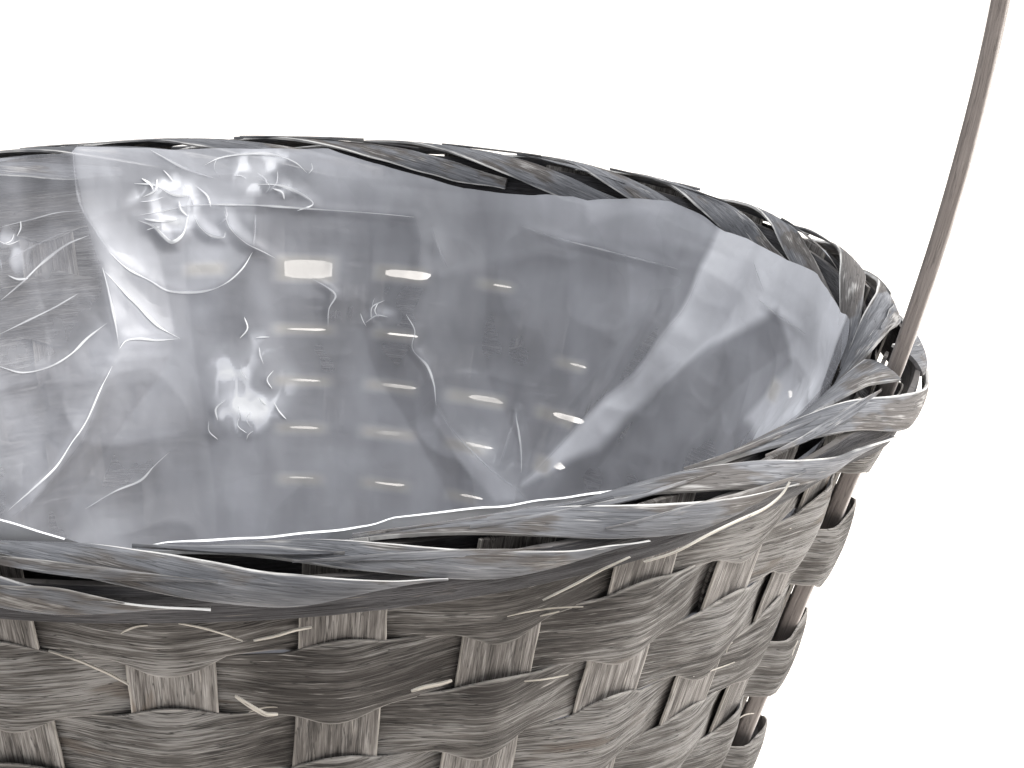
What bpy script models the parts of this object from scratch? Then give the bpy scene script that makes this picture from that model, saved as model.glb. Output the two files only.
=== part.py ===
"""Round chip-wood basket with a tall fixed handle and a clear film liner.

Fifteen long flat strips are plaited into a square mat for the base, fan out to the base
circle, turn up and stand as the thirty stakes of the wall. Ten flat weavers go round in
front of one stake and behind the next. A flat bamboo handle arches over the basket, and
its two legs are tucked between a stake and the weavers that cross it. At the rim a hoop
on each side grips the stake tips, and flat splints are laid over both hoops in a shallow
twist. The film liner is a thin cup with folds that stand in from the wall, and its edge is
held between inner hoop and splints.

Metres, +Z up. The origin is under the middle of the base, and the handle's legs are on X.
The wall is described by four numbers: the slant distance down from the rim's crown, the
direction round the basket, the distance out from the stakes' middle surface, and the
distance sideways along the stake's flat face.
"""
import math

import bmesh
import bpy
from mathutils import Vector

# Overall form
RIM_TOP_Z = 0.1200
WALL_TOP_RADIUS = 0.1200
WALL_TAPER = math.radians(17.5)
FIT_GAP = 0.0003

# Stakes and the base mat
STAKE_COUNT = 30
STAKE_WIDTH = 0.0124
STAKE_THICKNESS = 0.0008
STAKE_TOP_SLANT = 0.0012
MAT_SLOT = 0.0012
MAT_END_MARGIN = 0.0003
BASE_BEND_RADIUS = 0.0040
BEND_STEPS = 3
FAN_STEPS = 3
FAN_PULL_SHARE = 0.9

# Places of the strips in the mat, counted in pitches from its middle
LENGTHWAYS_PLACES = (-3, -2, -1, 0, 1, 2, 3)
CROSSWAYS_PLACES = (-3.5, -2.5, -1.5, -0.5, 0.5, 1.5, 2.5, 3.5)

# Weavers
ROW_COUNT = 10
ROW_PITCH = 0.0115
FIRST_ROW_SLANT = 0.00635
WEAVER_THICKNESS = 0.0006
ROW_SLOT = 0.0006
PILLOW_RISE = 0.0006
PILLOW_EXTRA_WIDTH = 0.0020

# Handle
HANDLE_WIDTH = 0.0090
HANDLE_THICKNESS = 0.0030
HANDLE_EDGE_ROUND = 0.0006
HANDLE_LEAN = math.radians(15.5)
HANDLE_RISE = 0.2450
HANDLE_SIDE_PULL = 0.1500
HANDLE_TOP_PULL = 0.1200
HANDLE_ARCH_STEPS = 44
LEG_ROWS = 7.9

# Rim
HOOP_THICKNESS = 0.0015
HOOP_TOP_SLANT = 0.0033
HOOP_BOTTOM_SLANT = 0.0090
HOOP_STEPS = 60
SPLINT_COUNT = 24
SPLINT_THICKNESS = 0.0007
SPLINT_WIDTH = 0.0054
SPLINT_TURN = math.radians(48.0)
SPLINT_STEPS = 13
SPLINT_INNER_DROP = 0.0095
SPLINT_OUTER_DROP = 0.0088
SPLINT_GAP = 0.0006
LEG_FLAT_SPREAD = math.radians(6.0)
LEG_SPREAD = math.radians(16.0)
LEG_CLEAR_SHARE = 0.56

# Liner
LINER_THICKNESS = 0.0004
LINER_TOP_SLANT = 0.0058
LINER_TOP_TURN_SLANT = 0.0100
LINER_CORNER = 0.0080
LINER_CORNER_STEPS = 2
LINER_STEPS = 50
LINER_FOLD_HEIGHT = 0.0055
LINER_FOLD_HALF_WIDTH = 0.0125
LINER_SPARE_FOLDS = 11
LINER_SPARE_FOLD_SHARE = 0.8

# Levels down the liner's wall as shares of its length, and how much of a fold stands out there
LINER_LEVEL_SHARES = (0.0, 0.18, 0.36, 0.68, 1.0)
LINER_RISE_SHARES = (0.0, 0.75, 1.0, 0.8, 0.15)

# The five folds seen in the photograph: share of a turn at each level, then share of the height
LINER_FOLD_SHARES = (
    ((0.0806, 0.1214, 0.1433, 0.1722, 0.1778), 0.6),
    ((0.1311, 0.1381, 0.1556, 0.1861, 0.1889), 1.0),
    ((0.2444, 0.2403, 0.2403, 0.1931, 0.1972), 0.8),
    ((0.3028, 0.3028, 0.3000, 0.2917, 0.2917), 0.5),
    ((0.3569, 0.3517, 0.3492, 0.4011, 0.4222), 1.0))

# Worked out from the sizes above
STAKE_STEP = math.tau / STAKE_COUNT
STAKE_HALF = STAKE_WIDTH / 2
WEAVER_OUT = STAKE_THICKNESS / 2 + FIT_GAP + WEAVER_THICKNESS / 2
WEAVE_FACE = WEAVER_OUT + PILLOW_RISE + WEAVER_THICKNESS / 2
MAT_PITCH = STAKE_WIDTH + MAT_SLOT
MAT_STEP_UP = STAKE_THICKNESS + FIT_GAP
BASE_LEVEL = STAKE_THICKNESS / 2
LEG_OUT = STAKE_THICKNESS / 2 + FIT_GAP + HANDLE_THICKNESS / 2
LEG_PUSH = HANDLE_THICKNESS + FIT_GAP
LEG_BOTTOM_SLANT = FIRST_ROW_SLANT + LEG_ROWS * ROW_PITCH
HOOP_OUT = WEAVE_FACE + FIT_GAP + HOOP_THICKNESS / 2
INNER_SPLINT_OUT = (HOOP_OUT + HOOP_THICKNESS / 2 + FIT_GAP + LINER_THICKNESS
                    + SPLINT_GAP + SPLINT_THICKNESS / 2)
LINER_TOP_OUT = HOOP_OUT + HOOP_THICKNESS / 2 + FIT_GAP + LINER_THICKNESS / 2
LINER_WALL_OUT = WEAVE_FACE + FIT_GAP + LINER_THICKNESS / 2

COLLECTION_NAME = "round_wicker_basket"


def make_material(name, colour, roughness, alpha=1.0):
    """A plain finish with the piece's own colour and roughness."""
    material = bpy.data.materials.new(name)
    material.use_nodes = True
    shader = material.node_tree.nodes["Principled BSDF"]
    shader.inputs["Base Color"].default_value = (*colour, 1.0)
    shader.inputs["Roughness"].default_value = roughness
    shader.inputs["Metallic"].default_value = 0.0
    shader.inputs["Alpha"].default_value = alpha
    return material


def add_object(name, mesh, collection, material):
    """Put a mesh in the basket's collection under its piece name."""
    piece = bpy.data.objects.new(name, mesh)
    collection.objects.link(piece)
    mesh.materials.append(material)
    return piece


def loft(name, sections, closed, collection, material):
    """Join equal rings of points into one closed body, capped at both ends unless closed."""
    mesh_data = bmesh.new()
    rings = [[mesh_data.verts.new(point) for point in section] for section in sections]
    size = len(rings[0])
    pairs = list(zip(rings, rings[1:]))
    if closed:
        pairs.append((rings[-1], rings[0]))
    for ring, following in pairs:
        for corner in range(size):
            after = (corner + 1) % size
            mesh_data.faces.new((ring[corner], ring[after], following[after], following[corner]))
    if not closed:
        mesh_data.faces.new(list(reversed(rings[0])))
        mesh_data.faces.new(rings[-1])
    bmesh.ops.recalc_face_normals(mesh_data, faces=mesh_data.faces)
    mesh = bpy.data.meshes.new(name)
    mesh_data.to_mesh(mesh)
    mesh_data.free()
    mesh.shade_smooth()
    mesh.set_sharp_from_angle(angle=math.radians(35.0))
    return add_object(name, mesh, collection, material)


def flat_section(centre, across, outward, width, thickness):
    """Corners of a flat strip's cross-section."""
    half_width = across * (width / 2)
    half_thickness = outward * (thickness / 2)
    return [centre + half_width + half_thickness, centre - half_width + half_thickness,
            centre - half_width - half_thickness, centre + half_width - half_thickness]


def rounded_section(centre, across, outward, width, thickness, rounding):
    """Cross-section of a flat strip whose four long edges are eased."""
    half_width = width / 2
    half_thickness = thickness / 2
    corners = []
    for side, face in ((1, 1), (-1, 1), (-1, -1), (1, -1)):
        long_corner = (side * half_width, face * (half_thickness - rounding))
        short_corner = (side * (half_width - rounding), face * half_thickness)
        corners += [long_corner, short_corner] if side == face else [short_corner, long_corner]
    return [centre + across * sideways + outward * out for sideways, out in corners]


def radial(angle):
    """Unit vector away from the basket's axis."""
    return Vector((math.cos(angle), math.sin(angle), 0.0))


def tangent(angle):
    """Unit vector round the basket, anticlockwise from above."""
    return Vector((-math.sin(angle), math.cos(angle), 0.0))


def wall_up(angle):
    """Unit vector up the sloping wall."""
    return radial(angle) * math.sin(WALL_TAPER) + Vector((0.0, 0.0, math.cos(WALL_TAPER)))


def wall_out(angle):
    """Unit vector square to the wall, away from the inside."""
    return radial(angle) * math.cos(WALL_TAPER) - Vector((0.0, 0.0, math.sin(WALL_TAPER)))


def wall_point(slant, angle, out=0.0, sideways=0.0):
    """Point on or beside the stakes' middle surface."""
    crown = radial(angle) * WALL_TOP_RADIUS + Vector((0.0, 0.0, RIM_TOP_Z))
    return (crown - wall_up(angle) * slant + wall_out(angle) * out
            + tangent(angle) * sideways)


def turned_angle(angle):
    """The same direction as an angle from minus half a turn to half a turn."""
    return (angle + math.pi) % math.tau - math.pi


def leg_bulge(angle):
    """How far the outer rim stands out for the handle's leg in this direction."""
    distance = min(abs(turned_angle(angle)), abs(turned_angle(angle - math.pi)))
    share = (LEG_SPREAD - distance) / (LEG_SPREAD - LEG_FLAT_SPREAD)
    share = min(1.0, max(0.0, share))
    return LEG_PUSH * share * share * (3.0 - 2.0 * share)


def mat_strip_half(side_offset, end_angle, crossings, over_first):
    """Path of a strip from the middle of the mat to the rim, heading along +X.

    The crossings are the places along X where other strips cross this half, in order from
    the middle outwards. Each entry is centre, direction across, direction outward.
    """
    down = Vector((0.0, 0.0, -1.0))
    along_y = Vector((0.0, 1.0, 0.0))
    path = []
    over = over_first
    for number, place in enumerate(crossings):
        level = BASE_LEVEL + (MAT_STEP_UP if over else 0.0)
        starts = place - STAKE_HALF
        ends = place + STAKE_HALF
        if number == len(crossings) - 1:
            ends += MAT_END_MARGIN
        if starts > 0.0:
            path.append((Vector((starts, side_offset, level)), along_y, down))
        path.append((Vector((ends, side_offset, level)), along_y, down))
        over = not over
    fan_start = path[-1][0].xy
    corner_radius = wall_corner_radius()
    bend_angle = math.pi / 2 - WALL_TAPER
    bend_start = corner_radius - BASE_BEND_RADIUS * math.tan(bend_angle / 2)
    fan_end = radial(end_angle).xy * bend_start
    pull = (fan_end - fan_start).length * FAN_PULL_SHARE
    for step in range(1, FAN_STEPS + 1):
        share = step / FAN_STEPS
        point, heading = hermite(fan_start, Vector((pull, 0.0)), fan_end,
                                 radial(end_angle).xy * pull, share)
        heading = heading.normalized()
        across = Vector((-heading.y, heading.x, 0.0))
        path.append((Vector((point.x, point.y, BASE_LEVEL)), across, down))
    across = tangent(end_angle)
    for step in range(1, BEND_STEPS + 1):
        turned = bend_angle * step / BEND_STEPS
        reach = bend_start + BASE_BEND_RADIUS * math.sin(turned)
        height = BASE_LEVEL + BASE_BEND_RADIUS * (1.0 - math.cos(turned))
        outward = radial(end_angle) * math.sin(turned) - Vector((0.0, 0.0, math.cos(turned)))
        path.append((radial(end_angle) * reach + Vector((0.0, 0.0, height)), across, outward))
    path.append((wall_point(STAKE_TOP_SLANT, end_angle), across, wall_out(end_angle)))
    return path


def wall_corner_radius():
    """Radius where the line of the wall meets the level of the base strips."""
    return WALL_TOP_RADIUS - (RIM_TOP_Z - BASE_LEVEL) * math.tan(WALL_TAPER)


def hermite(start, start_pull, end, end_pull, share):
    """Point and direction on a smooth curve between two points with given directions."""
    square = share * share
    cube = square * share
    point = (start * (2 * cube - 3 * square + 1) + start_pull * (cube - 2 * square + share)
             + end * (3 * square - 2 * cube) + end_pull * (cube - square))
    heading = (start * (6 * square - 6 * share) + start_pull * (3 * square - 4 * share + 1)
               + end * (6 * share - 6 * square) + end_pull * (3 * square - 2 * share))
    return point, heading


def turn_path(path, quarter_turns, mirror):
    """Turn a half path about the axis, after flipping it end for end if asked."""
    turned = []
    for centre, across, outward in path:
        points = [centre, across, outward]
        if mirror:
            points = [Vector((-point.x, point.y, point.z)) for point in points]
        for _ in range(quarter_turns):
            points = [Vector((-point.y, point.x, point.z)) for point in points]
        turned.append(points)
    return turned


def make_strip(name, side_number, crossing_numbers, over_at, quarter_turns, collection, material):
    """One long strip: stake, base strip of the mat and opposite stake in one piece."""
    side_offset = side_number * MAT_PITCH
    end_angle = side_number * STAKE_STEP
    halves = []
    for mirror in (False, True):
        sign = -1 if mirror else 1
        ordered = sorted(number for number in crossing_numbers if number >= 0)
        places = [number * MAT_PITCH for number in ordered]
        over_first = over_at(sign * ordered[0], side_number)
        half = mat_strip_half(side_offset, end_angle, places, over_first)
        halves.append(turn_path(half, quarter_turns, mirror))
    path = list(reversed(halves[1])) + halves[0]
    sections = []
    for centre, across, outward in path:
        steady = across if across.dot(path[0][1]) > 0.0 else -across
        sections.append(flat_section(centre, steady, outward, STAKE_WIDTH, STAKE_THICKNESS))
    return loft(name, sections, False, collection, material)


def weaver_outside(row, stake):
    """Whether a row's weaver passes in front of a stake."""
    return (row + stake) % 2 == 1


def make_weaver(row, collection, material):
    """One row: a flat weaver in front of one stake and behind the next."""
    slant = FIRST_ROW_SLANT + (row - 0.5) * ROW_PITCH
    narrow = ROW_PITCH - ROW_SLOT
    wide = narrow + PILLOW_EXTRA_WIDTH
    sections = []
    for stake in range(STAKE_COUNT):
        angle = stake * STAKE_STEP
        up = wall_up(angle)
        outward = wall_out(angle)
        if weaver_outside(row, stake):
            holds_leg = stake in (0, STAKE_COUNT // 2) and slant < LEG_BOTTOM_SLANT
            out = WEAVER_OUT + (LEG_PUSH if holds_leg else 0.0)
            shape = ((-STAKE_HALF, out, narrow), (0.0, out + PILLOW_RISE, wide),
                     (STAKE_HALF, out, narrow))
        else:
            shape = ((-STAKE_HALF, -WEAVER_OUT, narrow), (STAKE_HALF, -WEAVER_OUT, narrow))
        for sideways, out, width in shape:
            centre = wall_point(slant, angle, out, sideways)
            sections.append(flat_section(centre, up, outward, width, WEAVER_THICKNESS))
    return loft(f"weaver_row_{row:02d}", sections, True, collection, material)


def make_hoop(name, side, collection, material):
    """A flat hoop at the top of the wall, on its outer or inner side."""
    slant = (HOOP_TOP_SLANT + HOOP_BOTTOM_SLANT) / 2
    width = HOOP_BOTTOM_SLANT - HOOP_TOP_SLANT
    sections = []
    for step in range(HOOP_STEPS):
        angle = math.tau * step / HOOP_STEPS
        out = side * HOOP_OUT + (leg_bulge(angle) if side > 0 else 0.0)
        sections.append(flat_section(wall_point(slant, angle, out), wall_up(angle),
                                     wall_out(angle), width, HOOP_THICKNESS))
    return loft(name, sections, True, collection, material)


def handle_arch():
    """Middle line of the handle in the XZ plane from the +X leg to the -X leg."""
    foot = wall_point(LEG_BOTTOM_SLANT, 0.0, LEG_OUT)
    rim = wall_point(0.0, 0.0, LEG_OUT)
    crown_z = RIM_TOP_Z + HANDLE_RISE
    lean = Vector((math.sin(HANDLE_LEAN), 0.0, math.cos(HANDLE_LEAN)))
    controls = [rim, rim + lean * HANDLE_SIDE_PULL,
                Vector((HANDLE_TOP_PULL, 0.0, crown_z)), Vector((0.0, 0.0, crown_z))]
    half = [foot, wall_point(HOOP_BOTTOM_SLANT, 0.0, LEG_OUT)]
    steps = HANDLE_ARCH_STEPS // 2
    for step in range(steps + 1):
        half.append(bezier(controls, step / steps))
    other = [Vector((-point.x, 0.0, point.z)) for point in reversed(half[:-1])]
    return half + other


def bezier(controls, share):
    """Point on a cubic curve."""
    rest = 1.0 - share
    return (controls[0] * rest ** 3 + controls[1] * (3 * rest * rest * share)
            + controls[2] * (3 * rest * share * share) + controls[3] * share ** 3)


def make_handle(collection, material):
    """A flat bamboo strip bent over the basket, broad face outward."""
    line = handle_arch()
    sections = []
    for number, point in enumerate(line):
        before = line[max(0, number - 1)]
        after = line[min(len(line) - 1, number + 1)]
        heading = (after - before).normalized()
        outward = Vector((heading.z, 0.0, -heading.x))
        sections.append(rounded_section(point, Vector((0.0, 1.0, 0.0)), outward, HANDLE_WIDTH,
                                        HANDLE_THICKNESS, HANDLE_EDGE_ROUND))
    return loft("handle", sections, False, collection, material)


def rim_profile(distance, angle):
    """Slant and outward place on the splints' middle surface.

    The distance runs up the inner side of the rim, over its crown and down the outer side.
    """
    radius = INNER_SPLINT_OUT
    inner_leg = SPLINT_INNER_DROP - radius
    crown = math.pi * radius
    bulge = leg_bulge(angle)
    if distance < inner_leg:
        return radius + (inner_leg - distance), -radius
    if distance < inner_leg + crown:
        turned = (distance - inner_leg) / radius
        out = -radius * math.cos(turned)
        outer_share = max(0.0, -math.cos(turned))
        return radius - radius * math.sin(turned), out + bulge * outer_share
    return radius + (distance - inner_leg - crown), radius + bulge


def rim_profile_length():
    """Length of the way over the rim that the splints take."""
    legs = SPLINT_INNER_DROP + SPLINT_OUTER_DROP - 2 * INNER_SPLINT_OUT
    return legs + math.pi * INNER_SPLINT_OUT


def splint_section(middle, angle):
    """Cross-section of a splint bent over the rim, at one direction round the basket."""
    length = rim_profile_length()
    pitch_angle = math.atan2(length, SPLINT_TURN * WALL_TOP_RADIUS)
    reach = SPLINT_WIDTH / 2 / math.cos(pitch_angle)
    outer = []
    inner = []
    for place in (-reach, 0.0, reach):
        distance = middle + place
        slant, out = rim_profile(distance, angle)
        ahead_slant, ahead_out = rim_profile(distance + FIT_GAP, angle)
        run = Vector((ahead_out - out, slant - ahead_slant)).normalized()
        face_out = -run.y
        face_up = run.x
        point = wall_point(slant, angle, out)
        face = wall_out(angle) * face_out + wall_up(angle) * face_up
        outer.append(point + face * (SPLINT_THICKNESS / 2))
        inner.append(point - face * (SPLINT_THICKNESS / 2))
    return outer + list(reversed(inner))


def make_splint(name, start_angle, first_share, last_share, collection, material):
    """One flat splint laid over the rim from inside to outside."""
    length = rim_profile_length()
    half_width_share = SPLINT_WIDTH / 2 / length
    sections = []
    for step in range(SPLINT_STEPS):
        share = first_share + (last_share - first_share) * step / (SPLINT_STEPS - 1)
        middle = (half_width_share + share * (1.0 - 2 * half_width_share)) * length
        sections.append(splint_section(middle, start_angle + share * SPLINT_TURN))
    return loft(name, sections, False, collection, material)


def make_splints(collection, material):
    """All splints, with two cut short where a leg of the handle comes up between them."""
    leg_gap_share = (HANDLE_WIDTH / 2 + SPLINT_THICKNESS) / (WALL_TOP_RADIUS * SPLINT_TURN)
    for number in range(SPLINT_COUNT):
        start = math.tau * number / SPLINT_COUNT - LEG_CLEAR_SHARE * SPLINT_TURN
        name = f"rim_splint_{number + 1:02d}"
        if number % (SPLINT_COUNT // 2) == 0:
            make_splint(f"{name}_inner_end", start, 0.0, LEG_CLEAR_SHARE - leg_gap_share,
                        collection, material)
            make_splint(f"{name}_outer_end", start, LEG_CLEAR_SHARE + leg_gap_share, 1.0,
                        collection, material)
        else:
            make_splint(name, start, 0.0, 1.0, collection, material)


def liner_line():
    """Middle line of the liner without folds, as radius and z: its top, wall and lower corner."""
    top = []
    for slant in (LINER_TOP_SLANT, LINER_TOP_TURN_SLANT):
        point = wall_point(slant, 0.0, -LINER_TOP_OUT)
        top.append((point.x, point.z))
    floor_z = 2 * STAKE_THICKNESS + 2 * FIT_GAP + LINER_THICKNESS / 2
    wall = wall_point(0.0, 0.0, -LINER_WALL_OUT)
    edge_radius = wall.x - (wall.z - floor_z) * math.tan(WALL_TAPER)
    bend = math.pi / 2 - WALL_TAPER
    turn_in = edge_radius - LINER_CORNER * math.tan(bend / 2)
    corner = []
    for step in range(LINER_CORNER_STEPS + 1):
        turned = bend * (1.0 - step / LINER_CORNER_STEPS)
        corner.append((turn_in + LINER_CORNER * math.sin(turned),
                       floor_z + LINER_CORNER * (1.0 - math.cos(turned))))
    wall_levels = []
    for share in LINER_LEVEL_SHARES:
        wall_levels.append((top[-1][0] + (corner[0][0] - top[-1][0]) * share,
                            top[-1][1] + (corner[0][1] - top[-1][1]) * share))
    return top[:-1], wall_levels, corner[1:]


def liner_folds():
    """Every fold: its crest's share of a turn at each level, and its share of the height."""
    folds = list(LINER_FOLD_SHARES)
    first = folds[0][0]
    last = folds[-1][0]
    for number in range(1, LINER_SPARE_FOLDS + 1):
        share = number / (LINER_SPARE_FOLDS + 1)
        crest = [late + (early + 1.0 - late) * share for early, late in zip(first, last)]
        folds.append((crest, LINER_SPARE_FOLD_SHARE))
    return folds


def liner_columns(wall_levels):
    """Places round the liner at each level: share of a turn, and how far the fold stands in."""
    folds = liner_folds()
    following = folds[1:] + [([turn + 1.0 for turn in folds[0][0]], folds[0][1])]
    columns = []
    for (crest, height), (next_crest, next_height) in zip(folds, following):
        count = math.ceil((next_crest[0] - crest[0]) * LINER_STEPS)
        for step in range(count):
            column = []
            for level, (radius, _) in enumerate(wall_levels):
                gap = next_crest[level] - crest[level]
                width = gap * math.tau * radius
                before = 1.0 - width * step / count / LINER_FOLD_HALF_WIDTH
                after = 1.0 - width * (count - step) / count / LINER_FOLD_HALF_WIDTH
                rise = max(height * before, next_height * after, 0.0)
                column.append((crest[level] + gap * step / count,
                               rise * LINER_FOLD_HEIGHT * LINER_RISE_SHARES[level]))
            columns.append(column)
    return columns


def liner_rings(offset):
    """Rings of points on the liner's face at this distance out from its middle surface."""
    top, wall_levels, corner = liner_line()
    columns = liner_columns(wall_levels)
    rings = []
    for radius, z in top:
        rings.append([(radius, z, column[0][0], 0.0) for column in columns])
    for level, (radius, z) in enumerate(wall_levels):
        rings.append([(radius, z, *column[level]) for column in columns])
    for radius, z in corner:
        rings.append([(radius, z, column[-1][0], 0.0) for column in columns])
    faces = []
    for ring in rings[:-1]:
        face = []
        for radius, z, turn, rise in ring:
            angle = turn * math.tau
            point = radial(angle) * radius + Vector((0.0, 0.0, z))
            face.append(point + wall_out(angle) * (offset - rise))
        faces.append(face)
    faces.append([radial(turn * math.tau) * radius + Vector((0.0, 0.0, z - offset))
                  for radius, z, turn, _ in rings[-1]])
    return faces


def make_liner(collection, material):
    """The film liner, a thin cup with its main folds, closed by a flat floor."""
    mesh_data = bmesh.new()
    shells = []
    for offset in (LINER_THICKNESS / 2, -LINER_THICKNESS / 2):
        rings = [[mesh_data.verts.new(point) for point in ring] for ring in liner_rings(offset)]
        size = len(rings[0])
        for ring, lower in zip(rings, rings[1:]):
            for corner in range(size):
                after = (corner + 1) % size
                mesh_data.faces.new((ring[corner], ring[after], lower[after]))
                mesh_data.faces.new((ring[corner], lower[after], lower[corner]))
        mesh_data.faces.new(rings[-1])
        shells.append(rings)
    outer, inner = shells[0][0], shells[1][0]
    for corner in range(len(outer)):
        after = (corner + 1) % len(outer)
        mesh_data.faces.new((outer[corner], outer[after], inner[after], inner[corner]))
    bmesh.ops.recalc_face_normals(mesh_data, faces=mesh_data.faces)
    mesh = bpy.data.meshes.new("film_liner")
    mesh_data.to_mesh(mesh)
    mesh_data.free()
    mesh.shade_smooth()
    return add_object("film_liner", mesh, collection, material)


def lengthways_over(crossing, side):
    """Whether a lengthways strip lies over the crossways strip at a crossing."""
    return (CROSSWAYS_PLACES.index(crossing) + side) % 2 == 0


def crossways_over(crossing, side):
    """Whether a crossways strip lies over the lengthways strip at a crossing."""
    return (CROSSWAYS_PLACES.index(-side) + crossing) % 2 != 0


def build():
    """Make every piece of the basket."""
    for old in list(bpy.data.objects):
        bpy.data.objects.remove(old, do_unlink=True)
    collection = bpy.data.collections.new(COLLECTION_NAME)
    bpy.context.scene.collection.children.link(collection)
    stake_chip = make_material("stake_chip", (0.225, 0.208, 0.195), 0.75)
    weaver_chip = make_material("weaver_chip", (0.150, 0.140, 0.132), 0.78)
    splint_chip = make_material("splint_chip", (0.255, 0.250, 0.250), 0.70)
    hoop_cane = make_material("hoop_cane", (0.120, 0.115, 0.118), 0.75)
    handle_bamboo = make_material("handle_bamboo", (0.270, 0.235, 0.215), 0.60)
    clear_film = make_material("clear_film", (0.800, 0.810, 0.820), 0.15, alpha=0.3)

    for number, side in enumerate(LENGTHWAYS_PLACES, start=1):
        make_strip(f"base_strip_x{number}", side, CROSSWAYS_PLACES, lengthways_over, 0,
                   collection, stake_chip)
    for number, side in enumerate(CROSSWAYS_PLACES, start=1):
        make_strip(f"base_strip_y{number}", side, LENGTHWAYS_PLACES, crossways_over, 1,
                   collection, stake_chip)
    for row in range(1, ROW_COUNT + 1):
        make_weaver(row, collection, weaver_chip)
    make_hoop("outer_hoop", 1, collection, hoop_cane)
    make_hoop("inner_hoop", -1, collection, hoop_cane)
    make_handle(collection, handle_bamboo)
    make_splints(collection, splint_chip)
    make_liner(collection, clear_film)


build()
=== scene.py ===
"""Looks of the round chip-wood basket: every chip, splint and hoop as a fibrous strip with its
own grain, the bamboo handle, the loose fibres and the crinkled film liner.

The wall is described as in the model's source: the slant distance down from the rim's crown,
the direction round the basket and the distance out from the stakes' middle surface.
"""
import itertools
import math

import bpy
import numpy as np
from mathutils import Matrix


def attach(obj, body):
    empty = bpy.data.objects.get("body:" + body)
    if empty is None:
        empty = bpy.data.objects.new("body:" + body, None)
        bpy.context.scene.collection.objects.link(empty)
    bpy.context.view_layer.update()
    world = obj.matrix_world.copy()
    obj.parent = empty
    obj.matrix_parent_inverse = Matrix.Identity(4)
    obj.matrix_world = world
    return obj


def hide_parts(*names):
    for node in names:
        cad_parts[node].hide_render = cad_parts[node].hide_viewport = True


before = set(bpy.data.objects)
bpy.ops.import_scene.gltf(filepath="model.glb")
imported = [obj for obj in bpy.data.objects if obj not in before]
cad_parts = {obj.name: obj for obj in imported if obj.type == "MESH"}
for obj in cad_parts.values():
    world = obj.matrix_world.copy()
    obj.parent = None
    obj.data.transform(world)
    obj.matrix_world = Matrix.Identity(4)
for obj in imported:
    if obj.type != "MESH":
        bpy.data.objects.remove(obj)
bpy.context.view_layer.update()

MM = 0.001
UPRIGHT = np.array([0.0, 0.0, 1.0])

# Sizes of the model
RIM_TOP_Z = 0.1200
WALL_TOP_RADIUS = 0.1200
WALL_TAPER = math.radians(17.5)
FIT_GAP = 0.0003
STAKE_COUNT = 30
STAKE_WIDTH = 0.0124
STAKE_THICKNESS = 0.0008
STAKE_TOP_SLANT = 0.0012
MAT_SLOT = 0.0012
BASE_BEND_RADIUS = 0.0040
FAN_PULL_SHARE = 0.9
ROW_COUNT = 10
ROW_PITCH = 0.0115
FIRST_ROW_SLANT = 0.00635
WEAVER_THICKNESS = 0.0006
PILLOW_RISE = 0.0006
HANDLE_WIDTH = 0.0090
HANDLE_THICKNESS = 0.0030
HANDLE_LEAN = math.radians(15.5)
HANDLE_RISE = 0.2450
HANDLE_SIDE_PULL = 0.1500
HANDLE_TOP_PULL = 0.1200
LEG_ROWS = 7.9
HOOP_THICKNESS = 0.0015
HOOP_TOP_SLANT = 0.0033
HOOP_BOTTOM_SLANT = 0.0090
SPLINT_COUNT = 24
SPLINT_THICKNESS = 0.0007
SPLINT_WIDTH = 0.0054
SPLINT_TURN = math.radians(48.0)
SPLINT_INNER_DROP = 0.0095
SPLINT_OUTER_DROP = 0.0088
SPLINT_GAP = 0.0006
LEG_FLAT_SPREAD = math.radians(6.0)
LEG_SPREAD = math.radians(16.0)
LEG_CLEAR_SHARE = 0.56
LINER_THICKNESS = 0.0004
LINER_TOP_TURN_SLANT = 0.0100
LINER_CORNER = 0.0080
LINER_FOLD_HEIGHT = 0.0055
LINER_FOLD_HALF_WIDTH = 0.0125
LINER_SPARE_FOLDS = 11
LINER_SPARE_FOLD_SHARE = 0.8
LINER_LEVEL_SHARES = (0.0, 0.18, 0.36, 0.68, 1.0)
LINER_RISE_SHARES = (0.0, 0.75, 1.0, 0.8, 0.15)
LINER_FOLD_SHARES = (
    ((0.0806, 0.1214, 0.1433, 0.1722, 0.1778), 0.6),
    ((0.1311, 0.1381, 0.1556, 0.1861, 0.1889), 1.0),
    ((0.2444, 0.2403, 0.2403, 0.1931, 0.1972), 0.8),
    ((0.3028, 0.3028, 0.3000, 0.2917, 0.2917), 0.5),
    ((0.3569, 0.3517, 0.3492, 0.4011, 0.4222), 1.0))

STAKE_STEP = math.tau / STAKE_COUNT
STAKE_HALF = STAKE_WIDTH / 2
WEAVER_OUT = STAKE_THICKNESS / 2 + FIT_GAP + WEAVER_THICKNESS / 2
WEAVE_FACE = WEAVER_OUT + PILLOW_RISE + WEAVER_THICKNESS / 2
MAT_PITCH = STAKE_WIDTH + MAT_SLOT
MAT_STEP_UP = STAKE_THICKNESS + FIT_GAP
BASE_LEVEL = STAKE_THICKNESS / 2
BASE_BEND = math.pi / 2 - WALL_TAPER
LEG_OUT = STAKE_THICKNESS / 2 + FIT_GAP + HANDLE_THICKNESS / 2
LEG_PUSH = HANDLE_THICKNESS + FIT_GAP
LEG_BOTTOM_SLANT = FIRST_ROW_SLANT + LEG_ROWS * ROW_PITCH
HOOP_OUT = WEAVE_FACE + FIT_GAP + HOOP_THICKNESS / 2
INNER_SPLINT_OUT = (HOOP_OUT + HOOP_THICKNESS / 2 + FIT_GAP + LINER_THICKNESS
                    + SPLINT_GAP + SPLINT_THICKNESS / 2)
INNER_LEG = SPLINT_INNER_DROP - INNER_SPLINT_OUT
CROWN_LENGTH = math.pi * INNER_SPLINT_OUT

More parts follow.
